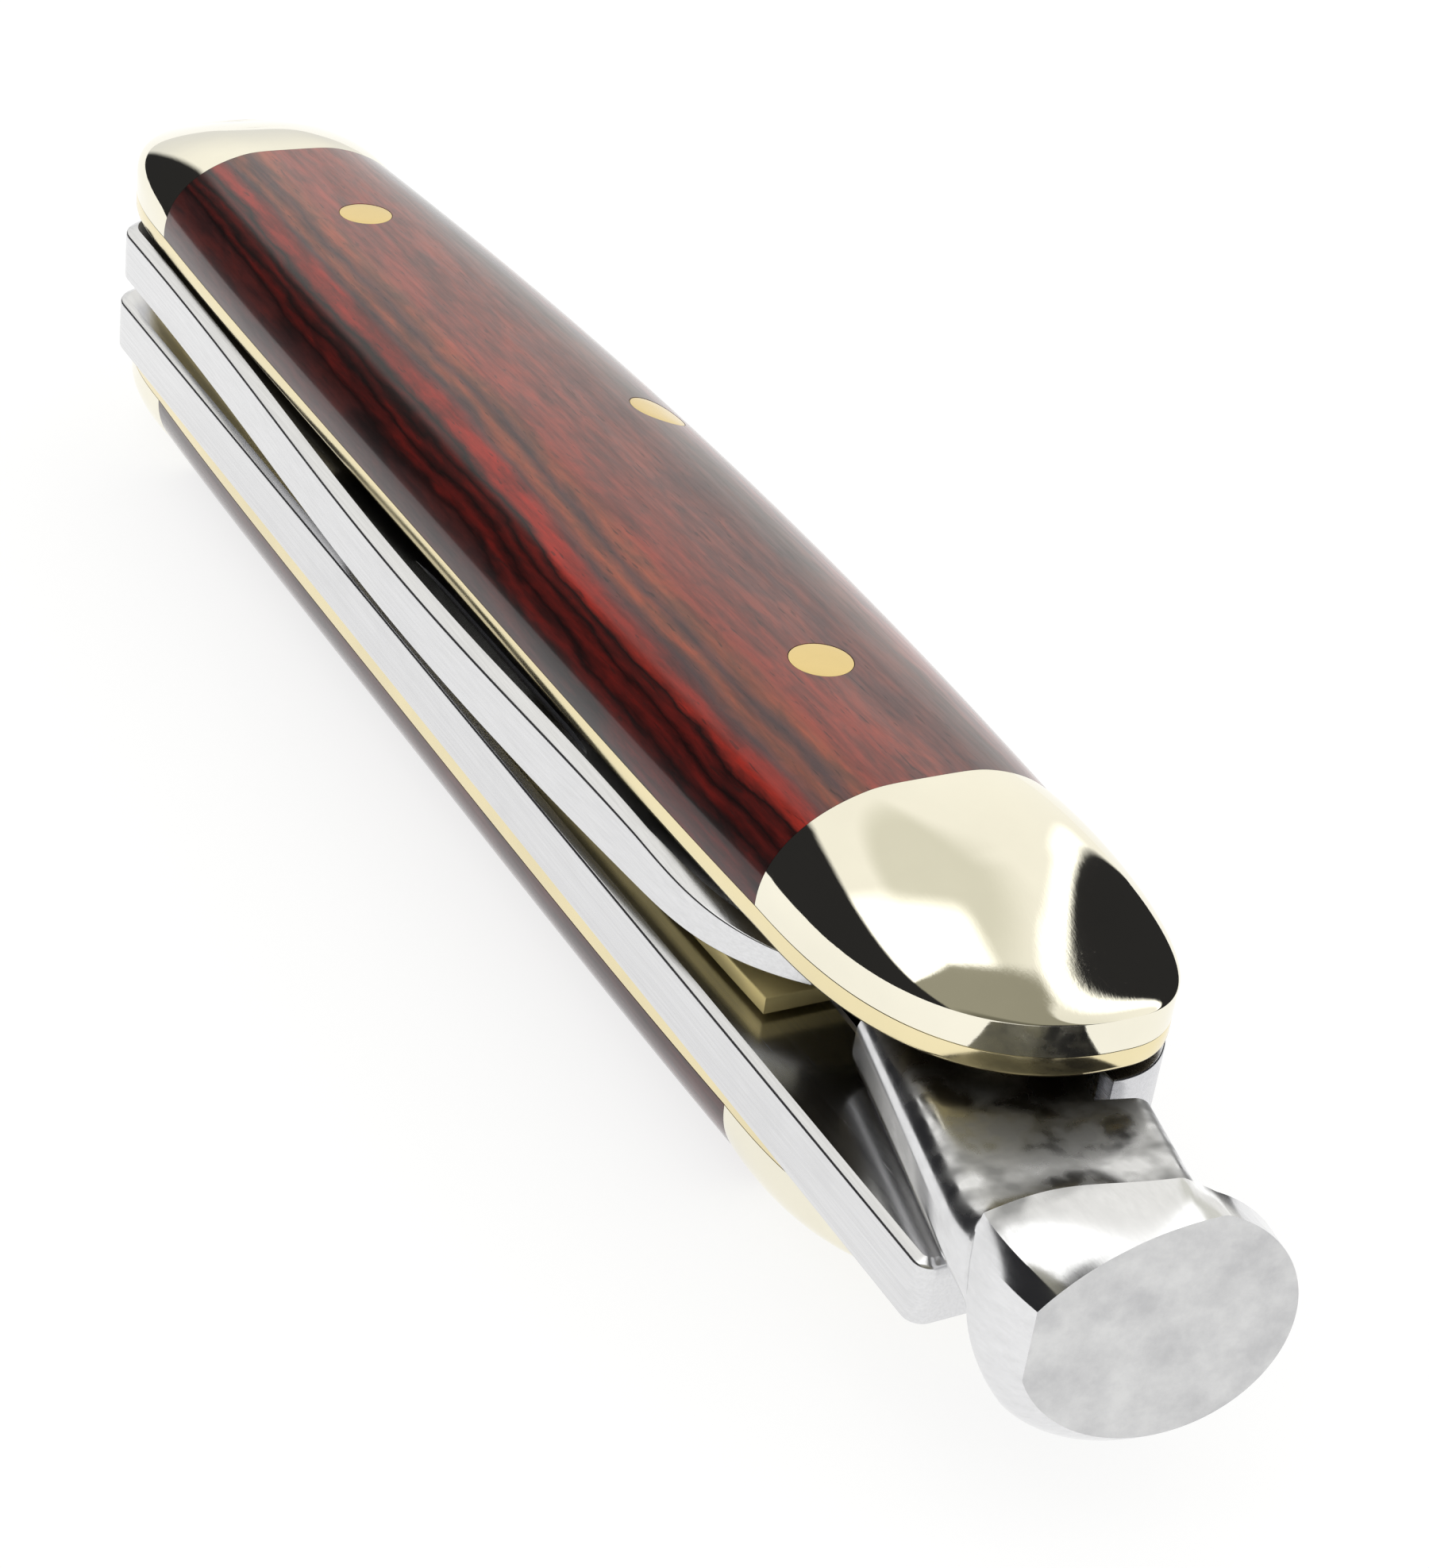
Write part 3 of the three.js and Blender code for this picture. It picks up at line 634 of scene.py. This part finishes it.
def domed_ring(x):
    steps = 96
    belly, spine = outline_at(x)
    middle = (belly + spine) / 2
    half_width = (spine - belly) / 2
    band, crest = dome_heights(x)
    ring = [(x, spine, liner_top)]
    for i in range(steps + 1):
        across = math.cos(math.pi * i / steps)
        height = band if i in (0, steps) else band + (crest - band) * dome_shape(across, nose_share(x))
        ring.append((x, middle + half_width * across, liner_top + height))
    ring.append((x, belly, liner_top))
    return ring


def turned(points, level, end):
    """Points made for the upper near corner, mirrored to the level and end that are asked for."""
    return [(x * end, y, z * level) for x, y, z in points]


def nose_stations():
    """Places along a bolster, closer together towards its nose."""
    steps, crowding = 56, 2.2
    return [junction_x + bolster_length * (1 - (1 - i / steps) ** crowding) for i in range(steps + 1)]


def edge_points(side, from_x, to_x, inset_by=0.0):
    """The handle's belly (0) or spine (1) edge between two places, from left to right."""
    steps = 48
    body = [-junction_x + 2 * junction_x * i / steps for i in range(steps + 1)]
    stations = [-x for x in reversed(nose_stations()[1:])] + body + nose_stations()[1:]
    inside = [x for x in stations if from_x + 1e-6 < x < to_x - 1e-6]
    towards = -1 if side else 1
    return [(x, outline_at(x)[side] + towards * inset_by) for x in (from_x, *inside, to_x)]


# Scales, bolsters, liners and pins

levels = {"top": 1, "bottom": -1}
ends = {"near": 1, "far": -1}


def handle_pin_holes():
    places = [(scale_pin_x, scale_pin_y), (-scale_pin_x, scale_pin_y), (0, spring_pin_y)]
    return [hole(x, y, pin_radius + pin_fit) for x, y in places]


def build_scale(level_name):
    steps = 120
    end_x = junction_x - scale_end_gap
    rings = [domed_ring(-end_x + 2 * end_x * i / steps) for i in range(steps + 1)]
    points, faces = loft(rings)
    obj = mesh_object(f"{level_name}_scale_wood", turned(points, levels[level_name], 1), faces)
    cut(obj, handle_pin_holes())
    dress(obj, f"{level_name}_scale", "handle", "rosewood", wood)


def build_bolster(level_name, end_name):
    points, faces = loft([domed_ring(x) for x in nose_stations()])
    points = turned(points, levels[level_name], ends[end_name])
    obj = mesh_object(f"{end_name}_{level_name}_bolster_polished", points, faces)
    dress(obj, f"{end_name}_{level_name}_bolster", "handle", "nickel_silver", nickel_silver)


def pin_solid(x, y, low, high):
    """A pin whose ends follow the dome, standing a hair proud of it and rounded at the rim."""
    shares = (0.0, 0.35, 0.7, 0.9, 0.97, 1.0)
    rings = []
    for side, ordered in ((low, shares), (high, shares[::-1])):
        for share in ordered:
            circle = arc((x, y), pin_radius * share, 0, math.tau, 64)[:-1]
            proud = pin_crown * (1 - share ** pin_crown_power) - pin_sink
            if side in levels:
                rings.append([(a, b, levels[side] * (dome_height_at(a, b) + proud)) for a, b in circle])
            else:
                rings.append([(a, b, side) for a, b in circle])
    return loft(rings)


def build_pins():
    for end_name, end in ends.items():
        for level_name, level in levels.items():
            sides = ("bottom", -slot_reach) if level < 0 else (slot_reach, "top")
            points, faces = pin_solid(scale_pin_x * end, scale_pin_y, *sides)
            obj = mesh_object(f"{end_name}_{level_name}_pin_brass", points, faces)
            dress(obj, f"{end_name}_{level_name}_scale_pin", "handle", "brass", pin_brass)
    points, faces = pin_solid(0, spring_pin_y, "bottom", "top")
    dress(mesh_object("spring_pin_brass", points, faces), "spring_pin", "handle", "brass", pin_brass)


def tarnish(obj, inward):
    """Gives the faces that look into the slots the second material."""
    least_lean = 0.35
    for polygon in obj.data.polygons:
        polygon.material_index = 1 if polygon.normal.z * inward > least_lean else 0


def build_liner(level_name):
    belly = edge_points(0, -half_length, half_length)
    spine = edge_points(1, -half_length, half_length)[::-1]
    points, faces = plate(belly + spine[1:-1], slot_reach, liner_top, liner_corners)
    obj = mesh_object(f"{level_name}_liner_brass", turned(points, levels[level_name], 1), faces)
    holes = handle_pin_holes()
    holes += [hole(*pivot, pin_radius + pin_fit) for pivot in (far_pivot, near_pivot)]
    cut(obj, holes)
    tarnish(obj, -levels[level_name])
    dress(obj, f"{level_name}_liner", "handle", "brass", brass, inner_brass)


def build_centre_liner():
    arm_root = spring_seat_y + spring_gap
    arm_end_x = near_pivot.x + back_arm_reach
    far_end = -half_length + layer_gap
    belly = [point for point in edge_points(0, far_end, centre_liner_end_x, centre_liner_recess)
             if point[1] < outline_at(point[0])[1]]
    spine = edge_points(1, far_end, arm_end_x)[::-1]
    outline = [*belly, (centre_liner_end_x, arm_root), (arm_end_x, arm_root), *spine[:-1]]
    points, faces = plate(outline, centre_liner_floor, centre_liner_top, centre_liner_corners)
    obj = mesh_object("centre_liner_brass", points, faces)
    cut(obj, [hole(0, spring_pin_y, pin_radius + pin_fit), hole(*far_pivot, pin_radius + pivot_fit)])
    dress(obj, "centre_liner", "handle", "brass", worn_brass)


# Springs along the back

spring_far_x = far_pivot.x - heel_reach + spring_gap


def spring_inner_edge(from_x):
    pad_y = spring_pin_y - pin_radius - spring_pad_cover
    lean_x = junction_x / 2
    waist_y = spine_height - spring_depth
    return [(from_x, spring_seat_y), (lean_x, waist_y), (spring_pad_half, pad_y),
            (-spring_pad_half, pad_y), (-lean_x, waist_y), (far_pivot.x + tang_radius, spring_seat_y),
            (spring_far_x, spring_seat_y)]


def build_springs():
    seat_radius = tang_radius + spring_gap
    tip_angle = math.asin((spring_tip_y - near_pivot.y) / seat_radius)
    seat = arc(near_pivot, seat_radius, tip_angle, math.pi / 2, 24)
    tip = (half_length - spring_tip_lean, spring_tip_y)
    upper = [*edge_points(1, spring_far_x, half_length), tip, *seat,
             *spring_inner_edge(near_pivot.x - tang_radius)]
    near_x = near_pivot.x + back_arm_reach
    lower = [*edge_points(1, spring_far_x, near_x), *spring_inner_edge(near_x)]
    for level_name, outline, low, high in (("upper", upper, upper_floor, upper_top),
                                           ("lower", lower, lower_floor, lower_top)):
        points, faces = plate(outline, low, high, spring_corners)
        obj = mesh_object(f"{level_name}_backspring_steel", points, faces)
        cut(obj, [hole(0, spring_pin_y, pin_radius + pin_fit)])
        dress(obj, f"{level_name}_backspring", "handle", "spring_steel", spring_steel)


# Knife blade

def spine_edge(bevel_run):
    """Steps in and down of a tool's upper spine edge: a shallow bevel, rounded into the spine."""
    lean = spine_bevel_lean
    bevel_drop = bevel_run / math.tan(lean)
    steps = 8
    points = [(spine_rounding * (1 - math.cos(lean)) + bevel_run, 0.0)]
    for i in range(steps + 1):
        turn = lean * (1 - i / steps)
        points.append((spine_rounding * (1 - math.cos(turn)),
                       bevel_drop + spine_rounding * (math.sin(lean) - math.sin(turn))))
    return points


def tip_drop_share_at(x):
    return max(0.0, (x - (blade_tip_x - tip_drop)) / tip_drop)


def blade_spine_at(x):
    to_tip = min(1.0, max(0.0, (x - far_pivot.x) / (blade_tip_x - far_pivot.x)))
    crown = blade_crown * math.sin(math.pi * to_tip ** crown_lean) ** 2
    return blade_spine_y - crown + (blade_tip_y - blade_spine_y) * tip_drop_share_at(x) ** tip_curve


def tip_share_at(x):
    return max(0.0, (x - (blade_tip_x - edge_curve_length)) / edge_curve_length)


def blade_edge_at(x):
    return blade_edge_y + (blade_tip_y + blade_tip_width - blade_edge_y) * tip_share_at(x) ** edge_curve


def tang_reach_at(x):
    return math.sqrt(max(0.0, tang_radius ** 2 - (x - far_pivot.x) ** 2))


def blade_edges_at(x, before_heel):
    """Spine and inner edge of the blade: round tang, then heel, then the blade itself."""
    heel_x = far_pivot.x + heel_reach
    inner = far_pivot.y + tang_reach_at(x)
    if x > far_pivot.x:
        inner = max(inner, blade_edge_at(x))
    if x < heel_x or before_heel:
        return far_pivot.y - tang_reach_at(x), inner
    run = min(1.0, (x - heel_x) / heel_radius)
    rise = heel_radius * (1 - math.sqrt(1 - (1 - run) ** 2))
    return blade_spine_at(x) + rise, inner


def blade_stations():
    """Places along the blade, each with whether it is still before the heel, and the grind's share."""
    heel_x = far_pivot.x + heel_reach
    tang_start = far_pivot.x - tang_radius
    crowding = 1.6
    stations = [(lerp(far_pivot.x, tang_start, math.sin(math.pi / 2 * (1 - i / 16))), True, 0.0)
                for i in range(17)]
    stations += [(lerp(far_pivot.x, heel_x, i / 12), True, 0.0) for i in range(1, 13)]
    stations += [(heel_x + heel_radius * (1 - math.cos(math.pi / 2 * i / 12)), False, 0.0)
                 for i in range(13)]
    heel_end = heel_x + heel_radius
    stations += [(lerp(heel_end, ricasso_end_x, i / 30), False, 0.0) for i in range(1, 31)]
    stations += [(ricasso_end_x + plunge_run * i / 8, False, math.sin(math.pi / 2 * i / 8))
                 for i in range(1, 9)]
    stations += [(lerp(ricasso_end_x + plunge_run, blade_tip_x, 1 - (1 - i / 90) ** crowding), False, 1.0)
                 for i in range(1, 91)]
    return stations


def blade_ring(x, before_heel, ground):
    """One section of the blade; the grind's share says how thin and hollow it is."""
    spine, edge = blade_edges_at(x, before_heel)
    middle = upper_floor + tool_stock / 2
    half = tool_stock / 2 * (1 - tip_thinning * tip_share_at(x) ** 2)
    profile = spine_edge(lerp(blade_bevel_run, tip_bevel_run, tip_drop_share_at(x)))
    strip = profile[0][0]
    share = min(1.0, (edge - spine) * widest_bevel_share / strip, half / (tool_stock / 2))
    top_from = spine + strip * share
    low_bevel = low_spine_bevel * share
    low_from = spine + low_bevel
    edge_half = lerp(half, edge_thickness / 2, ground)
    hollow_steps = 10
    sag = ground * half * grind_sag

    def face(start):
        points = []
        for i in range(hollow_steps + 1):
            part = i / hollow_steps
            reach = lerp(half, edge_half, part) - sag * math.sin(math.pi * part ** grind_sag_lean)
            points.append((lerp(start, edge, part), max(edge_half, reach)))
        return points

    below = [(y, middle - reach) for y, reach in face(low_from)]
    above = [(y, middle + reach) for y, reach in reversed(face(top_from))]
    spine_points = [(spine + step_in * share, middle + half - drop * share)
                    for step_in, drop in profile[1:]]
    spine_points.append((spine, middle - half + low_bevel))
    return [(x, y, z) for y, z in (*below, *above, *spine_points)]


def nail_nick():
    """Cutter for the long nail nick: square towards the spine, sloping out towards the edge."""
    y = blade_spine_at(nick_start + nick_length / 2) + nick_from_spine
    top = upper_top + nick_depth
    steps = 24
    rings = []
    for i in range(steps + 1):
        share = i / steps
        rise = nick_depth * abs(2 * share - 1) ** nick_end_power
        x = nick_start + nick_length * share
        rings.append([(x, y, upper_top - nick_depth + rise), (x, y + nick_width, top), (x, y, top)])
    points, faces = loft(rings)
    return mesh_object("cutter", points, faces)


def build_blade():
    points, faces = loft([blade_ring(*station) for station in blade_stations()])
    obj = mesh_object("knife_blade_ground", points, faces)
    cut(obj, [nail_nick(), hole(*far_pivot, pin_radius + pivot_fit)])
    dress(obj, "knife_blade", "blade", "tool_steel", steel, sharp=14)


# Spoon tool

def spoon_outline():
    heel_x = far_pivot.x + heel_reach
    heel_centre = (heel_x + heel_radius, spoon_spine_y + heel_radius)
    inner_at_tang = spoon_spine_y + spoon_width_at_tang
    inner_at_end = spoon_spine_y + spoon_width_at_end
    tang_end_x = far_pivot.x + spoon_tang_length
    tang_from = -math.acos(heel_reach / tang_radius)
    tang_to = -math.tau + math.asin((inner_at_tang - far_pivot.y) / tang_radius)
    heel = arc(heel_centre, heel_radius, -math.pi / 2, -math.pi, 16)
    tang = arc(far_pivot, tang_radius, tang_from, tang_to, 80)
    tip = arc((spoon_end_x - spoon_tip_radius, spoon_spine_y + spoon_tip_radius), spoon_tip_radius,
              -math.pi / 2, 0, 10)
    corner = arc((spoon_end_x - spoon_end_radius, inner_at_end - spoon_end_radius), spoon_end_radius,
                 0, math.pi / 2, 12)
    return [*tip, *corner, (tang_end_x, inner_at_tang), *reversed(tang), *reversed(heel)]


def spoon_scoop():
    """Cutter for the shallow scoop along the underside of the working end."""
    end = spoon_end_x - scoop_inset
    centre_y = spoon_spine_y + scoop_across
    steps = 40
    rings = []
    for i in range(steps + 1):
        share = i / steps
        fade = min(1.0, share / scoop_end_share, (1 - share) / scoop_end_share)
        centre_z = lower_floor + scoop_depth * math.sin(math.pi / 2 * fade) - scoop_radius
        circle = arc((centre_y, centre_z), scoop_radius, 0, math.tau, 96)[:-1]
        rings.append([(end - scoop_length * (1 - share), y, z) for y, z in circle])
    points, faces = loft(rings)
    return mesh_object("cutter", points, faces)


def build_spoon():
    outline = spoon_outline()
    rings = [(amount, lower_floor + drop) for amount, drop in rounded_corner(spoon_low_corner)]
    rings += [(step_in, lower_top - drop) for step_in, drop in reversed(spine_edge(spoon_bevel_run))]
    points, faces = loft([[(x, y, z) for x, y in inset(outline, amount)] for amount, z in rings])
    obj = mesh_object("spoon_tool_ground", points, faces)
    cut(obj, [spoon_scoop(), hole(*far_pivot, pin_radius + pivot_fit)])
    dress(obj, "spoon_tool", "spoon", "tool_steel", steel, sharp=14)


# Tamper: sections across the arm, each found along rays from a point inside

def tamper_plan_at(a, past_shoulder):
    """Belly and back reach of the arm and its round tang, at a place along the arm."""
    if a < -tang_heel:
        belly = lerp(-tang_heel_waist, -arm_belly, (a + tang_radius) / (tang_radius - tang_heel))
    else:
        belly = -arm_belly
    if past_shoulder:
        return belly, arm_spine
    tang = math.sqrt(max(0.0, tang_radius ** 2 - a * a))
    return belly, max(tang, arm_spine / 2 if a > 0 else 0.0)


def arm_depth(t, z, belly, back):
    """Negative inside the arm's rounded section and positive outside it."""
    rounding = np.where(t < 0, arm_belly_rounding, arm_spine_rounding)
    half_width, half_height = (arm_spine + arm_belly) / 2, tamper_thickness / 2
    beside = np.maximum(0, np.abs(t - (arm_spine - arm_belly) / 2) - half_width + rounding)
    above = np.maximum(0, np.abs(z - tamper_floor - half_height) - half_height + rounding)
    return np.maximum(np.hypot(beside, above) - rounding, np.maximum(belly - t, t - back))


def drum_depth(t, z):
    """The head behind its slope: round, squarer where the arm's upper belly edge runs into it, and ground
    flat on top."""
    across, up = t - head_offset, z - head_height
    power = np.where((across < 0) & (up > 0), head_corner_power, 2)
    rim = (np.abs(across) ** power + np.abs(up) ** power) ** (1 / power) - head_radius
    brow = z - head_brow_height - head_brow_slope * t
    return np.maximum(rim, brow)


def foot_depth(t, z):
    """The foot's face: a circle with a flat towards the belly and a shallower arc above it."""
    circle = np.hypot(t - foot_offset, z - foot_height) - foot_radius
    shallow = np.hypot(t - foot_cut_centre[0], z - foot_cut_centre[1]) - foot_cut_radius
    return np.maximum(np.maximum(circle, shallow), -foot_belly - t)


def ray_lengths(depth, centre, across, up):
    """Distance from a centre inside to the surface, along every ray."""
    inside, outside = np.zeros(len(across)), np.full(len(across), 2 * head_radius)
    for _ in range(30):
        middle = (inside + outside) / 2
        within = depth(centre[0] + across * middle, centre[1] + up * middle) < 0
        inside = np.where(within, middle, inside)
        outside = np.where(within, outside, middle)
    return inside


def ray_directions():
    """Directions across the arm, leaning towards its narrow sides, so that these get enough points."""
    ray_count = 320
    turns = np.arange(ray_count) * math.tau / ray_count
    across, up = np.cos(turns), np.sin(turns) * ray_squash
    length = np.hypot(across, up)
    return across / length, up / length


def head_starts(across, up):
    """By direction: where the concave sweep from arm to head starts, and where the head's slope starts."""
    above, below, beside = np.maximum(0, up) ** 2, np.minimum(0, up) ** 2, across ** 2
    sweep_start = above * top_scoop_start + below * low_scoop_start + beside * neck_start
    lean = np.maximum(0, np.cos(np.arctan2(up, across) - head_long_side))
    return sweep_start, tamper_reach - lerp(head_slope, head_long_slope, lean)


def tamper_rings():
    """Rings from the end of the tang, along the arm and out to the foot."""
    across, up = ray_directions()
    middle_z = tamper_floor + tamper_thickness / 2
    shoulder = tang_radius + shoulder_gap
    tang_places = [lerp(-tang_radius + tang_end_gap, -tang_heel, i / 8) for i in range(8)]
    tang_places += [lerp(-tang_heel, shoulder, i / 30) for i in range(31)]
    rings = []
    for a in tang_places:
        belly, back = tamper_plan_at(a, False)
        centre = ((belly + back) / 2, middle_z)
        radii = ray_lengths(lambda t, z: arm_depth(t, z, belly, back), centre, across, up)
        rings.append((a, centre, radii))
    centre = (section_centre, middle_z)
    belly, back = tamper_plan_at(shoulder, True)
    arm = ray_lengths(lambda t, z: arm_depth(t, z, belly, back), centre, across, up)
    drum = ray_lengths(drum_depth, centre, across, up)
    foot = ray_lengths(foot_depth, centre, across, up)
    sweep_start, head_back = head_starts(across, up)
    rings.append((shoulder + shoulder_step, centre, arm))
    steps = 90
    for i in range(1, steps + 1):
        places = lerp(shoulder, head_back, i / steps)
        share = np.clip((places - sweep_start) / (head_back - sweep_start), 0, 1)
        rings.append((places, centre, arm + (drum - arm) * (1 - np.sqrt(1 - share * share))))
    steps = 16
    for i in range(1, steps + 1):
        share = i / steps
        places = lerp(head_back, tamper_reach, share)
        rings.append((places, centre, drum + (foot - drum) * share ** head_curve))
    return [list(zip(np.broadcast_to(places, radii.shape), centre[0] + across * radii,
                     centre[1] + up * radii)) for places, centre, radii in rings]


def build_tamper():
    cos, sin = math.cos(tamper_swing), math.sin(tamper_swing)
    placed = [[(near_pivot.x + cos * a - sin * t, near_pivot.y + sin * a + cos * t, z)
               for a, t, z in ring] for ring in tamper_rings()]
    points, faces = loft(placed)
    obj = mesh_object("tamper_buffed", points, faces)
    cut(obj, [hole(*near_pivot, pin_radius + pivot_fit)])
    # The foot is the one large face across the arm; areas are in square metres here.
    face_direction = Vector((cos, sin, 0))
    least_facing, least_area = 0.99, 1e-5
    for polygon in obj.data.polygons:
        is_foot = polygon.normal.dot(face_direction) > least_facing and polygon.area > least_area
        polygon.material_index = 1 if is_foot else 0
    dress(obj, "tamper", "tamper_arm", "tool_steel", tamper_steel, foot_steel, sharp=24)


for level in levels:
    build_scale(level)
    build_liner(level)
    for end in ends:
        build_bolster(level, end)
build_pins()
build_centre_liner()
build_springs()
build_blade()
build_spoon()
build_tamper()
for node, material in (("far_pivot_pin", nickel_silver), ("near_pivot_pin", nickel_silver),
                       ("spring_end_pin", pin_brass)):
    frame["nodes"][node].data.materials.clear()
    frame["nodes"][node].data.materials.append(material)


# Studio: a pale floor under a soft tent

def build_floor():
    """A floor that looks almost white, and lights the object a little more than it shows."""
    wide, front, under = 4.0, 0.075, -2e-5
    grey = (0.26, 0.26, 0.255, 1)
    glow_cast, glow_seen = 0.80, 0.78
    mesh = bpy.data.meshes.new("studio_floor")
    mesh.from_pydata([(-wide, -front, under), (wide, -front, under), (wide, wide, under),
                      (-wide, wide, under)], [], [(0, 1, 2, 3)])
    floor = bpy.data.objects.new("studio_floor", mesh)
    bpy.context.scene.collection.objects.link(floor)
    material = bpy.data.materials.new("studio_floor")
    material.use_nodes = True
    tree = material.node_tree
    tree.nodes.clear()
    diffuse = tree.nodes.new("ShaderNodeBsdfDiffuse")
    diffuse.inputs["Color"].default_value = grey
    glow = tree.nodes.new("ShaderNodeEmission")
    path = tree.nodes.new("ShaderNodeLightPath")
    strength = between(tree, path.outputs["Is Camera Ray"], 0, 1, glow_cast, glow_seen)
    tree.links.new(strength, glow.inputs["Strength"])
    both = tree.nodes.new("ShaderNodeAddShader")
    tree.links.new(diffuse.outputs[0], both.inputs[0])
    tree.links.new(glow.outputs[0], both.inputs[1])
    output = tree.nodes.new("ShaderNodeOutputMaterial")
    tree.links.new(both.outputs[0], output.inputs["Surface"])
    mesh.materials.append(material)


def build_world():
    """A white tent to the left and above, open to a darker room in front, behind and on the right."""
    world = bpy.data.worlds.new("studio_world")
    bpy.context.scene.world = world
    world.use_nodes = True
    tree = world.node_tree
    tree.nodes.clear()
    ray = tree.nodes.new("ShaderNodeTexCoord").outputs["Generated"]
    to_right, to_back, to_top = parts_of(tree, ray)

    def along(*direction):
        """How far a ray points along a direction."""
        terms = [arithmetic(tree, "MULTIPLY", part, amount)
                 for part, amount in zip((to_right, to_back, to_top), direction)]
        return arithmetic(tree, "ADD", arithmetic(tree, "ADD", *terms[:2]), terms[2])

    def zone(value, start, end):
        """0 before the start and 1 past the end, with a soft edge."""
        return between(tree, value, start, end, 0, 1, True)

    def both(first, second):
        return arithmetic(tree, "MULTIPLY", first, second)

    tent = (1.04, 1.03, 0.985)
    low_tent = (0.80, 0.80, 0.79)
    shaded_tent = (0.79, 0.785, 0.71)
    bright = (1.7, 1.7, 1.66)
    room = (0.34, 0.33, 0.27)
    dim_room = (0.17, 0.165, 0.13)
    black = (0.024, 0.024, 0.026)
    room_lean = 0.2
    far_low = both(zone(to_top, 0.45, 0.0), zone(to_right, -0.80, -0.92))
    shade = zone(along(-0.35, 0.22, 0.91), 0.925, 0.975)
    overhead = both(zone(along(1, -0.3, 0), -0.37, -0.27), zone(to_back, 0.36, 0.26))
    lean = arithmetic(tree, "MULTIPLY", arithmetic(tree, "MINIMUM", to_back, 0), room_lean)
    right_room = zone(arithmetic(tree, "ADD", to_right, lean), -0.09, -0.065)
    far_right = zone(to_right, 0.45, 0.7)
    behind = along(0.7, 1, 0)
    seam = both(zone(behind, 0.385, 0.425), both(zone(to_top, 0.15, 0.35), zone(to_right, 0.02, -0.08)))
    front_dark = zone(along(0.62, 1, 0.2), -0.57, -0.65)
    back_dark = zone(behind, 0.448, 0.472)
    colour = mixed(tree, far_low, tent, low_tent)
    for share, tone in ((shade, shaded_tent), (overhead, bright), (right_room, room), (far_right, dim_room),
                        (seam, bright), (front_dark, black), (back_dark, black)):
        colour = mixed(tree, share, colour, tone)
    path = tree.nodes.new("ShaderNodeLightPath")
    soft = mixed(tree, zone(to_top, -0.2, 1.0), (0.74, 0.74, 0.74), (1.06, 1.06, 1.06))
    colour = mixed(tree, path.outputs["Is Diffuse Ray"], colour, soft)
    colour = mixed(tree, path.outputs["Is Camera Ray"], colour, (1.0, 1.0, 1.0))
    background = tree.nodes.new("ShaderNodeBackground")
    tree.links.new(colour, background.inputs["Color"])
    output = tree.nodes.new("ShaderNodeOutputWorld")
    tree.links.new(background.outputs[0], output.inputs["Surface"])


def build_camera():
    """The photograph's viewpoint, fitted to the handle's outline."""
    azimuth, elevation, roll = (math.radians(angle) for angle in (58.133, 30.868, 8.007))
    distance = 122.27
    aim = Vector((16.35, -0.85, rest_height))
    focal_pixels = 3999.5
    image_height = 1975
    back = Vector((math.sin(azimuth) * math.cos(elevation), -math.cos(azimuth) * math.cos(elevation),
                   math.sin(elevation)))
    right = Vector((math.cos(azimuth), math.sin(azimuth), 0))
    up = back.cross(right)
    turned_right = right * math.cos(roll) + up * math.sin(roll)
    turned_up = up * math.cos(roll) - right * math.sin(roll)
    camera = bpy.data.cameras.new("camera")
    camera.sensor_width = 36
    camera.lens = focal_pixels * camera.sensor_width / image_height
    camera.clip_start = 0.005
    obj = bpy.data.objects.new("camera", camera)
    axes = Matrix((turned_right, turned_up, back)).transposed().to_4x4()
    obj.matrix_world = Matrix.Translation((aim + back * distance) * MM) @ axes
    bpy.context.scene.collection.objects.link(obj)
    bpy.context.scene.camera = obj


build_floor()
build_world()
build_camera()
bpy.context.scene.view_settings.view_transform = "Standard"
